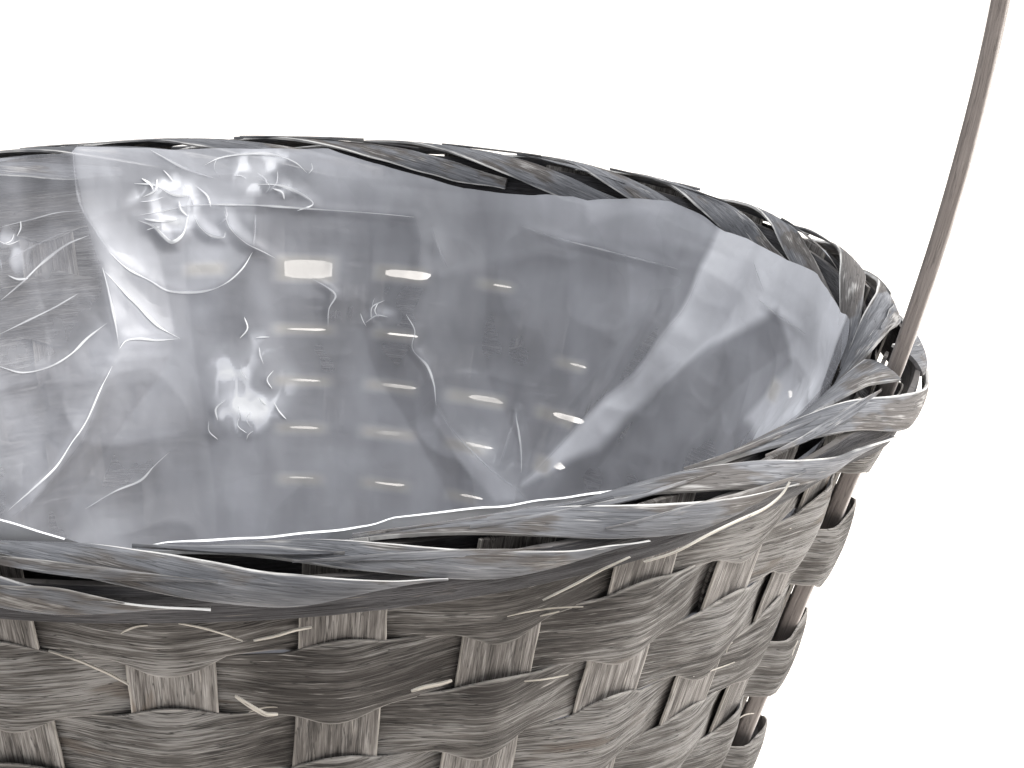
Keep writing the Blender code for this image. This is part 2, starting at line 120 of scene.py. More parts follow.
# Fine form of the strips
CHIP_THICKNESS = 0.0005
PILLOW_STATIONS = 18
PILLOW_COLUMNS = 11
CROSSING_HALF = 0.00598
PILLOW_SPREAD = 0.0023
PILLOW_SWELL = 0.00115
INSIDE_SWELL = 0.00055
SECTION_SAG = 0.0008
LAP_LENGTH = 0.0100
LAP_DROP = 0.0007
WEAVER_FRAY = 0.13 * MM
STRIP_FRAY = 0.12 * MM
HOOP_FRAY = 0.15 * MM
HOOP_RAISE = 0.0013
SPLINT_FRAY = 0.14 * MM
SPLINT_SHOWN_WIDTH = 0.0040
SPLINT_WIDTH_VARIES = 0.0006
SPLINT_STATIONS = 90
SPLINT_TUCK = 0.0021
SPLINT_BEND = 0.5
SPLINT_ROOT_DROP = 0.0012
SPLINT_COLUMNS = np.array([-1, -0.93, -0.84, -0.6, -0.3, 0, 0.3, 0.6, 0.85, 0.95, 1])
TIP_LENGTH = 0.026
ROOT_LENGTH = 0.016
SLIVER_COUNT = 44
FIBRE_COUNT = 330


def hashed(seed, *cells):
    """A repeatable random number between -1 and 1 for each whole-numbered cell."""
    mixed = np.uint64(seed * 2654435761 + 97)
    with np.errstate(over="ignore"):
        for cell in cells:
            whole = np.asarray(cell).astype(np.int64).astype(np.uint64)
            mixed = (mixed ^ whole) * np.uint64(0x9E3779B97F4A7C15)
            mixed = mixed ^ (mixed >> np.uint64(29))
            mixed = mixed * np.uint64(0xBF58476D1CE4E5B9)
            mixed = mixed ^ (mixed >> np.uint64(32))
    return (mixed >> np.uint64(11)).astype(float) / 2.0 ** 52 - 1.0


def draws(seeds, number):
    """A repeatable random number between -1 and 1 of each seed for one numbered thing."""
    return [float(hashed(seed, number)) for seed in seeds]


def eased(share):
    """A share from 0 to 1 with a soft start and end."""
    share = np.clip(share, 0.0, 1.0)
    return share * share * (3.0 - 2.0 * share)


def wander(seed, places, spacing):
    """Smooth random line between -1 and 1, with a new value at every spacing."""
    cells = np.asarray(places) / spacing
    low = np.floor(cells)
    share = eased(cells - low)
    return hashed(seed, low) * (1.0 - share) + hashed(seed, low + 1) * share


def noise_field(seed, points, spacing):
    """Smooth random field between -1 and 1 over points in space."""
    cells = np.asarray(points) / spacing
    low = np.floor(cells)
    share = eased(cells - low)
    total = 0.0
    for corner in itertools.product((0, 1), repeat=3):
        x, y, z = np.moveaxis(np.where(corner, share, 1 - share), -1, 0)
        total = total + x * y * z * hashed(seed, *np.moveaxis(low + corner, -1, 0))
    return total


def stacked(*parts):
    """Vectors from their parts."""
    return np.stack(np.broadcast_arrays(*parts), axis=-1)


def scaled(vectors, amounts):
    """Each vector times its own amount."""
    return vectors * np.asarray(amounts, float)[..., None]


def unit(vectors):
    """Vectors of length one."""
    return vectors / np.linalg.norm(vectors, axis=-1, keepdims=True)


def way_along(line):
    """How far along a line its points are."""
    return np.concatenate([[0.0], np.cumsum(np.linalg.norm(np.diff(line, axis=0), axis=1))])


def radial(angle):
    """Unit vectors away from the basket's axis."""
    return stacked(np.cos(angle), np.sin(angle), 0.0)


def wall_up(angle):
    """Unit vectors up the sloping wall."""
    return radial(angle) * math.sin(WALL_TAPER) + UPRIGHT * math.cos(WALL_TAPER)


def wall_out(angle):
    """Unit vectors square to the wall, away from the inside."""
    return radial(angle) * math.cos(WALL_TAPER) - UPRIGHT * math.sin(WALL_TAPER)


def wall_point(slant, angle, out=0.0):
    """Points on or beside the stakes' middle surface."""
    slant, angle, out = np.broadcast_arrays(slant, angle, out)
    crown = radial(angle) * WALL_TOP_RADIUS + UPRIGHT * RIM_TOP_Z
    return crown - scaled(wall_up(angle), slant) + scaled(wall_out(angle), out)


def wall_radius(slant):
    """Distance of the stakes' middle surface from the axis."""
    return WALL_TOP_RADIUS - slant * math.sin(WALL_TAPER)


def turned_angle(angle):
    """The same directions as angles from minus half a turn to half a turn."""
    return (angle + math.pi) % math.tau - math.pi


def from_legs(angle):
    """Angle from the nearer leg of the handle."""
    return np.minimum(np.abs(turned_angle(angle)), np.abs(turned_angle(angle - math.pi)))


def leg_bulge(angle):
    """How far the outer rim stands out for the handle's legs."""
    return LEG_PUSH * eased((LEG_SPREAD - from_legs(angle)) / (LEG_SPREAD - LEG_FLAT_SPREAD))


# Meshes: a shape is its points, its faces and the grain and edge values of its points

def grid_faces(rows, columns):
    """Corner numbers of the quads of a grid of points."""
    corner = (np.arange(rows - 1)[:, None] * columns + np.arange(columns - 1)).ravel()
    return np.stack([corner, corner + 1, corner + columns + 1, corner + columns], axis=1)


def tube_faces(rows, columns, ends):
    """Quads round a tube of points, with caps at the start, at the end or at both."""
    number = np.arange(rows * columns).reshape(rows, columns)
    after = np.roll(number, -1, axis=1)
    faces = [stacked(number[:-1], after[:-1], after[1:], number[1:]).reshape(-1, 4)]
    for end in ends:
        near, far = number[end, :columns // 2], number[end, ::-1][:columns // 2]
        faces.append(stacked(near[:-1], near[1:], far[1:], far[:-1])[:, ::-1 if end else 1])
    return np.concatenate(faces)


def chip_shape(surface, outward, thickness, grain, edge):
    """One closed strip about a grid of points."""
    rows, columns = surface.shape[:2]
    half = scaled(outward, np.broadcast_to(thickness, (rows, columns)) / 2)
    count = rows * columns
    points = np.concatenate([(surface + half).reshape(-1, 3), (surface - half).reshape(-1, 3)])
    top = grid_faces(rows, columns)
    number = np.arange(count).reshape(rows, columns)
    loop = np.concatenate([number[0], number[1:, -1], number[-1, -2::-1], number[-2:0:-1, 0]])
    after = np.roll(loop, -1)
    side = np.stack([after, loop, loop + count, after + count], axis=1)
    faces = np.concatenate([top, top[:, ::-1] + count, side])
    a, b, c = points[top[0, [0, 1, 3]]]
    if np.dot(np.cross(b - a, c - a), outward[0, 0]) < 0.0:
        faces = faces[:, ::-1]
    grain = np.broadcast_to(stacked(*grain), surface.shape).reshape(-1, 3)
    edge = np.broadcast_to(edge, (rows, columns)).ravel()
    return points, faces, np.tile(grain, (2, 1)), np.tile(edge, 2)


def join_shapes(shapes):
    """Several shapes as one."""
    first = 0
    parts = []
    for points, faces, grain, edge in shapes:
        parts.append((points, faces + first, grain, edge))
        first += len(points)
    return [np.concatenate(part) for part in zip(*parts)]


def add_piece(name, shape, material, nodes, sharp_angle=48.0):
    """A shown piece that rides on the basket and stands for its nodes."""
    points, faces, grain, edge = shape
    mesh = bpy.data.meshes.new(name)
    mesh.vertices.add(len(points))
    mesh.vertices.foreach_set("co", points.astype(np.float32).ravel())
    mesh.loops.add(faces.size)
    mesh.loops.foreach_set("vertex_index", faces.astype(np.int32).ravel())
    mesh.polygons.add(len(faces))
    mesh.polygons.foreach_set("loop_start", np.arange(0, faces.size, 4, dtype=np.int32))
    mesh.update(calc_edges=True)
    for key, kind, field, values in (("grain", "FLOAT_VECTOR", "vector", grain),
                                     ("edge", "FLOAT", "value", edge)):
        stored = mesh.attributes.new(key, kind, "POINT")
        stored.data.foreach_set(field, values.astype(np.float32).ravel())
    mesh.materials.append(material)
    mesh.shade_smooth()
    mesh.set_sharp_from_angle(angle=math.radians(sharp_angle))
    piece = bpy.data.objects.new(name, mesh)
    bpy.context.scene.collection.objects.link(piece)
    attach(piece, "root")
    if nodes:
        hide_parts(*nodes)
    return piece


def spread_columns(count):
    """Places across a strip from -1 to 1, with a narrow column at each edge."""
    return np.concatenate([[-1.0], np.linspace(-0.94, 0.94, count - 2), [1.0]])


def ribbon_shape(centre, across, outward, half_low, half_high, lift, thickness, seed):
    """A strip along a line of centres, with its own half width towards each long edge."""
    columns = spread_columns(lift.shape[1])
    sideways = columns * np.where(columns < 0.0, half_low[:, None], half_high[:, None])
    surface = centre[:, None] + scaled(across[:, None], sideways) + scaled(outward[:, None], lift)
    edge = (np.abs(columns) > 0.97).astype(float)
    thin = thickness * (1.0 - 0.45 * np.abs(columns) ** 8)
    normal = np.broadcast_to(outward[:, None], surface.shape)
    return chip_shape(surface, normal, thin, (way_along(centre)[:, None], sideways, float(seed)),
                      edge)


# Weave

# Slits between two rows: the upper row, the number of the stake before the slit, then the
# slit's height and half length in millimetres
SLITS = [
    (2, 8, 4.1, 8), (2, 7, 1.8, 7), (2, 6, 0.5, 3.5), (2, 9, 1, 4), (2, 2, 2.4, 1.5), (3, 8, 0.5,
    7), (3, 7, 0.4, 5), (3, 5, 0.4, 3), (4, 8, 0.4, 6), (4, 7, 0.7, 6), (4, 6, 1, 6), (4, 5, 1,
    6), (5, 8, 0.4, 5), (5, 7, 0.8, 6), (5, 6, 0.8, 5), (5, 5, 1.7, 2.6), (6, 8, 0.5, 4.5), (6, 7,
    0.5, 5), (6, 6, 0.45, 4)]

# How much lower the lower edge of each row lies in the part of the wall seen from inside, in
# millimetres, and where that part is, in degrees
ROW_DROPS = [0, 0, 0, 2.2, 2.4, 1.6, 1.7, 1.3, 0.9, 0.4, 0]
DROP_MIDDLE = 85.0
DROP_REACH = 52.0
DROP_FADE = 26.0

# Half lengths of the slits that are drawn by lot, and how softly every slit ends
PLAIN_SLIT_HALF = 6.0
SLIT_END = 1.6 * MM


def row_drop(row, angle):
    """How much lower the lower edge of a row lies than an even spacing puts it."""
    away = np.abs(np.degrees(turned_angle(angle - math.radians(DROP_MIDDLE))))
    return ROW_DROPS[row] * MM * eased((DROP_REACH - away) / DROP_FADE)


def slit_height(boundary, angle):
    """How far a row stands apart from the row below it."""
    places = angle / STAKE_STEP
    stake = np.floor(places).astype(int) % STAKE_COUNT
    radius = wall_radius(FIRST_ROW_SLANT + boundary * ROW_PITCH)
    distance = np.abs(places - np.floor(places) - 0.5) * STAKE_STEP * radius
    plain = (stake < 2) | (stake > 12)
    height = np.where(plain, 0.9 * np.clip(hashed(boundary + 320, stake) - 0.2, 0.0, 1.0), 0.0)
    reach = np.full(height.shape, PLAIN_SLIT_HALF)
    for row, place, opening, half_length in SLITS:
        if row == boundary:
            height = np.where(stake == place, opening, height)
            reach = np.where(stake == place, half_length, reach)
    lapped = np.where(height > 0.05, 2 * CROSSING_HALF - ROW_PITCH, 0.0)
    return (height * MM + lapped) * eased((reach * MM - distance) / SLIT_END)


def weaver_state(row, angle):
    """Where a row's weaver runs: slant, distance out, half width, how far outside it is, the
    stake's own random number and the way round."""
    middle = FIRST_ROW_SLANT + (row - 0.5) * ROW_PITCH
    radius = wall_radius(middle)
    pitch = STAKE_STEP * radius
    stake = np.round(angle / STAKE_STEP)
    along = np.abs((angle / STAKE_STEP - stake) * pitch)
    stake = stake.astype(int) % STAKE_COUNT
    side = np.where((row + stake) % 2 == 1, 1.0, -1.0)
    slack = pitch - STAKE_WIDTH
    flat = np.where(along < STAKE_HALF, 1.0, np.cos(math.pi * (along - STAKE_HALF) / slack))
    swell = np.cos(np.clip(along / (STAKE_HALF + 0.25 * slack), 0.0, 1.0) * math.pi / 2) ** 2
    own, other, third = (hashed(row + step, stake) for step in (0, 40, 80))
    holds_leg = (stake % (STAKE_COUNT // 2) == 0) & (side > 0) & (middle < LEG_BOTTOM_SLANT)
    base = WEAVER_OUT + 0.1 * MM + np.where(holds_leg, LEG_PUSH, 0.0)
    rise = np.where(side > 0, PILLOW_SWELL * (1.0 + 0.35 * own), INSIDE_SWELL)
    arc = angle * radius
    above, below = row_drop(row - 1, angle), row_drop(row, angle)
    half = CROSSING_HALF + (PILLOW_SPREAD + 0.45 * MM * other) * swell + (below - above) / 2
    slant = middle + (above + below) / 2 + WEAVER_FRAY * wander(row + 160, arc, 0.045)
    slant = slant + 0.40 * MM * third * swell
    return slant, side * (base * flat + rise * swell), half, side * flat, own, arc


def make_weaver(row, material):
    """One row's weaver as an open strip whose ends are lapped behind a stake."""
    behind = [stake for stake in range(STAKE_COUNT) if (row + stake) % 2 == 0]
    radius = wall_radius(FIRST_ROW_SLANT + (row - 0.5) * ROW_PITCH)
    start = behind[(row * 7) % len(behind)] * STAKE_STEP - LAP_LENGTH / 2 / radius
    length = math.tau + LAP_LENGTH / radius
    angle = start + np.linspace(0.0, length, STAKE_COUNT * PILLOW_STATIONS)
    slant, out, half, side, own, arc = weaver_state(row, angle)
    to_end = (start + length - angle) * radius
    out = out - LAP_DROP * eased((LAP_LENGTH + 0.006 - to_end) / 0.005)
    low = half + WEAVER_FRAY * wander(row + 200, arc, 0.0043) - slit_height(row, angle) / 2
    high = half + WEAVER_FRAY * wander(row + 240, arc, 0.0051) - slit_height(row - 1, angle) / 2
    low = low - 0.35 * MM * np.clip(wander(row + 280, arc, 0.009) - 0.5, 0.0, 1.0)
    columns = spread_columns(PILLOW_COLUMNS)
    sag = -SECTION_SAG * side[:, None] * columns ** 2
    tilt = 0.22 * MM * (own * np.abs(side))[:, None] * columns
    place = stacked(arc[:, None] / 7.0, columns * half[:, None], row * 0.01)
    ripple = 0.10 * MM * noise_field(row + 5, place, 0.0016) * np.abs(columns) ** 0.5
    shape = ribbon_shape(wall_point(slant, angle, out), wall_up(angle), wall_out(angle), low,
                         high, sag + tilt + ripple, CHIP_THICKNESS, 3.7 * row)
    add_piece(f"weaver_{row:02d}_chip", shape, material,
              [f"weaver_row_{row:02d}"])


def mat_level(distance, side_number, crossing_numbers, along_x):
    """Height of a mat strip's middle surface along its way, with soft steps."""
    crossings = np.array(crossing_numbers)
    over = (np.round(side_number + crossings + 3.5) % 2 == 0) == along_x
    heights = np.where(over, MAT_STEP_UP, 0.0)
    leaves = crossings * MAT_PITCH + STAKE_HALF
    level = np.full_like(distance, heights[0])
    for start, end, height, following in zip(leaves, leaves[1:] - STAKE_WIDTH, heights,
                                             heights[1:]):
        share = (distance - start) / (end - start)
        level = np.where(distance > start, height + (following - height) * eased(share), level)
    return level


def strip_line(side_number, crossing_numbers, along_x):
    """Middle line of a strip from rim to rim along X."""
    end_angle = side_number * STAKE_STEP
    away = radial(end_angle)
    reach = max(crossing_numbers) * MAT_PITCH + STAKE_HALF + FIT_GAP
    corner_radius = WALL_TOP_RADIUS - (RIM_TOP_Z - BASE_LEVEL) * math.tan(WALL_TAPER)
    bend_start = corner_radius - BASE_BEND_RADIUS * math.tan(BASE_BEND / 2)
    distance = np.linspace(-reach, reach, 2 * int(reach / MM))
    height = mat_level(distance, side_number, crossing_numbers, along_x)
    start = np.array([reach, side_number * MAT_PITCH])
    end = away[:2] * bend_start
    pull = np.linalg.norm(end - start) * FAN_PULL_SHARE
    share = np.linspace(0.0, 1.0, 14)[1:, None]
    flat = (start * (2 * share ** 3 - 3 * share ** 2 + 1)
            + np.array([pull, 0.0]) * (share ** 3 - 2 * share ** 2 + share)
            + end * (3 * share ** 2 - 2 * share ** 3)
            + away[:2] * pull * (share ** 3 - share ** 2))
    turned = BASE_BEND * np.linspace(0.0, 1.0, 9)[1:, None]
    curve = (away * (bend_start + BASE_BEND_RADIUS * np.sin(turned))
             + UPRIGHT * (BASE_LEVEL + BASE_BEND_RADIUS * (1.0 - np.cos(turned))))
    wall_start = (RIM_TOP_Z - curve[-1, 2]) / math.cos(WALL_TAPER)
    wall = wall_point(np.linspace(wall_start, STAKE_TOP_SLANT, 80)[1:], end_angle)
    halves = []
    for mirror, last in ((-1.0, height[0]), (1.0, height[-1])):
        fan_z = BASE_LEVEL + last * (1.0 - eased(share / 0.7))
        fan = np.concatenate([flat, fan_z], axis=1)
        halves.append(np.concatenate([fan, curve, wall]) * [mirror, 1.0, 1.0])
    mat = stacked(distance, side_number * MAT_PITCH, BASE_LEVEL + height)
    return np.concatenate([halves[0][::-1], mat, halves[1]])


def make_strip(name, node, side_number, crossing_numbers, along_x, seed, material):
    """One long strip: stake, base strip of the mat and opposite stake in one piece."""
    line = strip_line(side_number, crossing_numbers, along_x)
    if not along_x:
        line = line[:, [1, 0, 2]] * [-1.0, 1.0, 1.0]
    heading = unit(np.gradient(line, axis=0))
    level = unit(heading * [1.0, 1.0, 0.0] + 1e-9)
    across = stacked(-level[:, 1], level[:, 0], 0.0)
    outward = unit(np.cross(heading, across))
    outward = outward * np.where(outward[:, 2:] > 0.0, -1.0, 1.0)
    along = way_along(line)
    on_wall = eased((line[:, 2] - 0.012) / 0.02)
    centre = line + scaled(across, 0.25 * MM * wander(seed, along, 0.035) * on_wall)
    low = STAKE_HALF + STRIP_FRAY * wander(seed + 30, along, 0.004)
    high = STAKE_HALF + STRIP_FRAY * wander(seed + 60, along, 0.005)
    place = stacked(along[:, None] / 9.0, spread_columns(9) * STAKE_HALF, seed * 0.01)
    shape = ribbon_shape(centre, across, outward, low, high,
                         0.05 * MM * noise_field(seed, place, 0.0013), STAKE_THICKNESS * 0.9,
                         2.3 * seed + 50.0)
    add_piece(name, shape, material, [node])


def make_hoop(name, node, side, seed, material):
    """A flat cane hoop at the top of the wall, butted at its ends."""
    gap = FIT_GAP / WALL_TOP_RADIUS
    angle = seed * 0.9 + np.linspace(gap, math.tau - gap, 420)
    top = HOOP_TOP_SLANT - HOOP_RAISE
    out = side * HOOP_OUT + (leg_bulge(angle) if side > 0 else 0.0)
    half = (HOOP_BOTTOM_SLANT - top) / 2 - HOOP_FRAY * np.abs(wander(seed, angle, 0.05))
    lift = np.broadcast_to(-0.2 * MM * side * spread_columns(7) ** 2, (len(angle), 7))
    centre = wall_point((top + HOOP_BOTTOM_SLANT) / 2, angle, out)
    shape = ribbon_shape(centre, wall_up(angle), wall_out(angle), half, half, lift,
                         HOOP_THICKNESS * 0.95, 90.0 + seed)
    add_piece(name, shape, material, [node])


# Rim

def rim_surface(distance, angle):
    """Points on the splints' middle surface, up the inner side, over the crown and down."""
    radius = INNER_SPLINT_OUT
    turned = np.clip((distance - INNER_LEG) / radius, 0.0, math.pi)
    slant = (radius - radius * np.sin(turned) + np.maximum(INNER_LEG - distance, 0.0)
             + np.maximum(distance - INNER_LEG - CROWN_LENGTH, 0.0))
    out = -radius * np.cos(turned) + leg_bulge(angle) * np.clip(-np.cos(turned), 0.0, 1.0)
    past_hoop = eased((slant - HOOP_BOTTOM_SLANT + 0.0015) / 0.0035)
    tuck = np.where(out > 0.0, SPLINT_TUCK, 0.3 * SPLINT_TUCK)
    return wall_point(slant, angle, out - tuck * past_hoop * np.sign(out))


def make_splint(name, node, start_angle, first_share, last_share, seed, material):
    """One flat splint laid over the rim from inside to outside."""
    length = SPLINT_INNER_DROP + SPLINT_OUTER_DROP + (math.pi - 2) * INNER_SPLINT_OUT
    half_width = (SPLINT_SHOWN_WIDTH + SPLINT_WIDTH_VARIES * hashed(seed, 1)) / 2
    pitch_angle = math.atan2(length, SPLINT_TURN * WALL_TOP_RADIUS)
    run = length / math.sin(pitch_angle)
    share = first_share + (last_share - first_share) * np.linspace(0.0, 1.0, SPLINT_STATIONS)
    along = share * run
    margin = SPLINT_WIDTH / 2 / length
    over = share - SPLINT_BEND * np.sin(math.tau * share) / math.tau
    middle = (margin + over * (1.0 - 2 * margin)) * length
    middle = middle - SPLINT_ROOT_DROP * eased((0.25 - share) / 0.25)
    middle = middle + 0.5 * MM * (hashed(seed, 3) + wander(seed, along, 0.03))
    half = half_width * (1.0 + 0.26 * np.sin(math.pi * share) ** 2)
    to_tip = (last_share - share) * run
    from_root = (share - first_share) * run
    tip_taper = -0.85 + 1.85 * eased(to_tip / TIP_LENGTH) if last_share == 1.0 else 1.0
    root_taper = 0.1 + 0.9 * eased(from_root / ROOT_LENGTH) if first_share == 0.0 else 1.0
    low = half * root_taper + SPLINT_FRAY * wander(seed + 31, along, 0.006)
    high = half * tip_taper + SPLINT_FRAY * wander(seed + 62, along, 0.007)
    columns = SPLINT_COLUMNS
    place = -low[:, None] + (columns + 1.0) / 2 * (low + high)[:, None]
    place = place / math.cos(pitch_angle)
    distance = middle[:, None] + place
    angle = np.broadcast_to((start_angle + share * SPLINT_TURN)[:, None], distance.shape)
    surface = rim_surface(distance, angle)
    step = 0.0002
    down = rim_surface(distance + step, angle) - rim_surface(distance - step, angle)
    ahead = rim_surface(distance, angle + step) - rim_surface(distance, angle - step)
    outward = unit(np.cross(ahead, down))
    from_crown = surface - wall_point(INNER_SPLINT_OUT, angle)
    facing = np.sum(outward * from_crown, axis=-1, keepdims=True)
    outward = outward * np.where(facing < 0.0, -1.0, 1.0)
    lift = (-(0.45 + 0.06 * hashed(seed, 2)) * MM * columns
            + 0.18 * MM * wander(seed + 90, along, 0.021)[:, None]
            + 0.16 * MM * (1.0 - columns ** 2))
    if last_share == 1.0:
        lift = lift - 0.4 * MM * eased(1.0 - to_tip / 0.014)[:, None]
    edge = (columns < -0.9).astype(float) + 0.35 * (columns > 0.97)
    thin = SPLINT_THICKNESS * (1.0 - 0.3 * np.abs(columns) ** 8)
    shape = chip_shape(surface + scaled(outward, lift), outward, thin,
                       (along[:, None], place, 5.1 * seed + 130.0), edge)
    add_piece(name, shape, material, [node])


def make_splints(material):
    """All splints, two of them in two parts beside the handle's legs."""
    leg_gap_share = (HANDLE_WIDTH / 2 + SPLINT_THICKNESS) / (WALL_TOP_RADIUS * SPLINT_TURN)
    for number in range(1, SPLINT_COUNT + 1):
        start = math.tau * (number - 1) / SPLINT_COUNT - LEG_CLEAR_SHARE * SPLINT_TURN
        parts = [("", "", 0.0, 1.0)]
        if number % (SPLINT_COUNT // 2) == 1:
            parts = [("_inner", "_inner_end", 0.0, LEG_CLEAR_SHARE - leg_gap_share),
                     ("_outer", "_outer_end", LEG_CLEAR_SHARE + leg_gap_share, 1.0)]
        for name_end, node_end, first_share, last_share in parts:
            make_splint(f"splint_{number:02d}_chip{name_end}",
                        f"rim_splint_{number:02d}{node_end}", start, first_share, last_share,
                        number, material)


def make_slivers(material):
    """Thin splits of the splints that lie along the rim's crown and its outer face."""
    share = np.linspace(0.0, 1.0, 34)
    columns = np.array([-1.0, -0.5, 0.0, 0.5, 1.0])
    shapes = []
    for number in range(SLIVER_COUNT):
        shift, turn, drift, wide = draws(range(601, 605), number)
        reach = math.radians(15.0 + 6.0 * turn)
        angle = math.tau * (number + 0.35 * shift) / SLIVER_COUNT + reach * share
        if from_legs(angle).min() <= 0.05:
            continue
        place = (number * 0.381) % 1.0
        middle = (INNER_LEG + CROWN_LENGTH * (0.16 + 0.62 * place)
                  + (2.2 + 1.6 * drift) * MM * share
                  + 0.25 * MM * wander(number + 610, share, 0.3))
        half = (0.52 + 0.28 * wide) * MM
        half = half * np.clip(np.minimum(share / 0.45, (1.0 - share) / 0.35), 0.10, 1.0)
        across = columns * half[:, None]
        angle = np.broadcast_to(angle[:, None], across.shape)
        surface = rim_surface(middle[:, None] + across, angle)
        outward = unit(surface - wall_point(INNER_SPLINT_OUT, angle, leg_bulge(angle) * 0.5))
        lift = np.broadcast_to(0.62 * MM - 0.15 * MM * columns, across.shape)
        along = (share * reach * WALL_TOP_RADIUS)[:, None]
        shapes.append(chip_shape(surface + scaled(outward, lift), outward, 0.00026,
                                 (along, across, 7.3 * number),
                                 0.35 * (columns < -0.97).astype(float)))
    add_piece("rim_slivers", join_shapes(shapes), material, [])


# Handle

def handle_line():
    """Middle line of the handle in the XZ plane from the +X leg to the -X leg."""
    rim, foot = (wall_point(slant, 0.0, LEG_OUT) for slant in (0.0, LEG_BOTTOM_SLANT))
    crown_z = RIM_TOP_Z + HANDLE_RISE
    lean = np.array([math.sin(HANDLE_LEAN), 0.0, math.cos(HANDLE_LEAN)])
    share = np.linspace(0.0, 1.0, 110)[:, None]
    rest = 1.0 - share
    arch = (rim * rest ** 3 + (rim + lean * HANDLE_SIDE_PULL) * 3 * rest ** 2 * share
            + np.array([HANDLE_TOP_PULL, 0.0, crown_z]) * 3 * rest * share ** 2
            + np.array([0.0, 0.0, crown_z]) * share ** 3)
    leg = foot + (rim - foot) * np.linspace(0.0, 1.0, 40)[:-1, None]
    half = np.concatenate([leg, arch])
    return np.concatenate([half, half[-2::-1] * [-1.0, 1.0, 1.0]])


def make_handle(material):
    """A flat bamboo strip with a rounded outer skin and fibrous split edges."""
    line = handle_line()
    heading = unit(np.gradient(line, axis=0))
    outward = stacked(heading[:, 2], 0.0, -heading[:, 0])
    across = np.broadcast_to([0.0, 1.0, 0.0], line.shape)
    along = way_along(line)
    turn = np.linspace(0.0, math.tau, 40, endpoint=False)
    wide, deep = (np.sign(way) * np.abs(way) ** 0.32 for way in (np.cos(turn), np.sin(turn)))
    half_width = HANDLE_WIDTH / 2 - 0.15 * MM * np.abs(wander(3, along, 0.04))
    half_depth = HANDLE_THICKNESS / 2 - 0.10 * MM * np.abs(wander(4, along, 0.03))
    sideways = wide * half_width[:, None]
    depth = deep * half_depth[:, None]
    on_leg = (np.minimum(along, along[-1] - along) < 0.09)[:, None]
    depth = depth - np.where(deep < 0.0, 0.9 * FIT_GAP, 0.0) * on_leg
    rough = 0.06 * MM * noise_field(9, stacked(along[:, None] / 14.0, sideways, depth), 0.0009)
    sideways = sideways + np.sign(sideways) * rough
    points = line[:, None] + scaled(across[:, None], sideways) + scaled(outward[:, None], depth)
    faces = tube_faces(*depth.shape, (0, -1))
    normal = np.cross(points[0, 1] - points[0, 0], points[1, 0] - points[0, 0])
    if np.dot(normal, points[0, 0] - line[0]) < 0.0:
        faces = faces[:, ::-1]
    round_way = np.where(np.abs(depth) > 0.9 * half_depth[:, None], sideways, depth * 1.7 + 0.02)
    grain = stacked(along[:, None], round_way, 77.0)
    skin = np.broadcast_to(eased((deep - 0.75) / 0.2), depth.shape)
    shape = (points.reshape(-1, 3), faces, grain.reshape(-1, 3), skin.ravel())
    add_piece("handle_strip", shape, material, ["handle"], 40.0)


# Loose fibres

def fibre_shape(start, along, outward, length, width, lift, curl, seed):
    """A thin splinter that lies along the grain at one end and stands off at the other."""
    share = np.linspace(0.0, 1.0, 9)
    line = (start + np.outer(share * length, along) + np.outer(lift * share ** 2, outward)
            + np.outer(curl * share ** 2, np.cross(outward, along)))
    heading = unit(np.gradient(line, axis=0))
    across = unit(np.cross(np.broadcast_to(outward, heading.shape), heading))
    half = width / 2 * (0.25 + 0.75 * np.sin(math.pi * (0.12 + 0.8 * share)))
    sideways = np.array([-1.0, 0.0, 1.0]) * half[:, None]
    surface = line[:, None] + scaled(across[:, None], sideways)
    normal = np.broadcast_to(np.cross(heading, across)[:, None], surface.shape)
    return chip_shape(surface, normal, 0.00016,
                      ((share * length)[:, None], sideways, seed * 1.3), 0.0)


def make_fibres(material):
    """Splinters that have come loose from the weavers' faces and edges."""
    shapes = []
    for number in range(FIBRE_COUNT):
        row, turn, place, way, lean, length, width, lift, curl = draws(range(501, 510), number)
        row = 1 + int((row + 1) / 2 * ROW_COUNT) % ROW_COUNT
        angle = np.array([math.pi * turn])
        slant, out, half, side, _, _ = weaver_state(row, angle)
        if side[0] < 0.55:
            continue
        place = 0.92 * place
        start = wall_point(slant - place * half, angle,
                           out - SECTION_SAG * side * place ** 2 + CHIP_THICKNESS * 0.6)[0]
        round_way = np.array([-np.sin(angle[0]), np.cos(angle[0]), 0.0])
        along = round_way * (1.0 if way > 0 else -1.0) + wall_up(angle)[0] * (0.25 * lean)
        shapes.append(fibre_shape(start, unit(along), wall_out(angle)[0],
                                  (7.0 + 6.0 * length) * MM, (0.21 + 0.11 * width) * MM,
                                  (0.5 + 0.45 * lift) * MM, 1.4 * MM * curl, number))
    add_piece("loose_fibres", join_shapes(shapes), material, [])


# Long splinters: places as degrees and millimetres down from the crown, then how far they
# stand off the stakes' middle surface and their half width in millimetres
STRAYS = [
    ((-38.6, 8.9, -36.1, 7.5, -34, 5.2, -31.2, 4, -28.4, 3.8, -26.9, 2.3, -26.4, 0.2), (3.8, 5.2,
     6, 6.4, 6.5, 6.5, 6.4), 0.2),
    ((-67.6, 23.2, -66.5, 24.5, -65.5, 25.7, -64.6, 26), (2.6, 3.6, 4.2, 4), 0.32),
    ((-66.3, 13, -64.8, 12.2, -63.5, 11.5, -62.3, 11.5), (2.7, 2.9, 2.7, 2.4), 0.2),
    ((-55, 26.1, -54, 25.9, -52.7, 26, -51.7, 25.9), (2.2, 2, 1.8, 1.6), 0.3),
    ((-46.3, 11.9, -43.9, 9.2, -42.3, 7.1, -40.3, 5.4), (3.4, 4.2, 4.8, 5.4), 0.14),
    ((-80, 14.9, -77.8, 16.5, -75.9, 18.5, -74.6, 20.4), (2.4, 2.6, 2.9, 3.1), 0.16)]


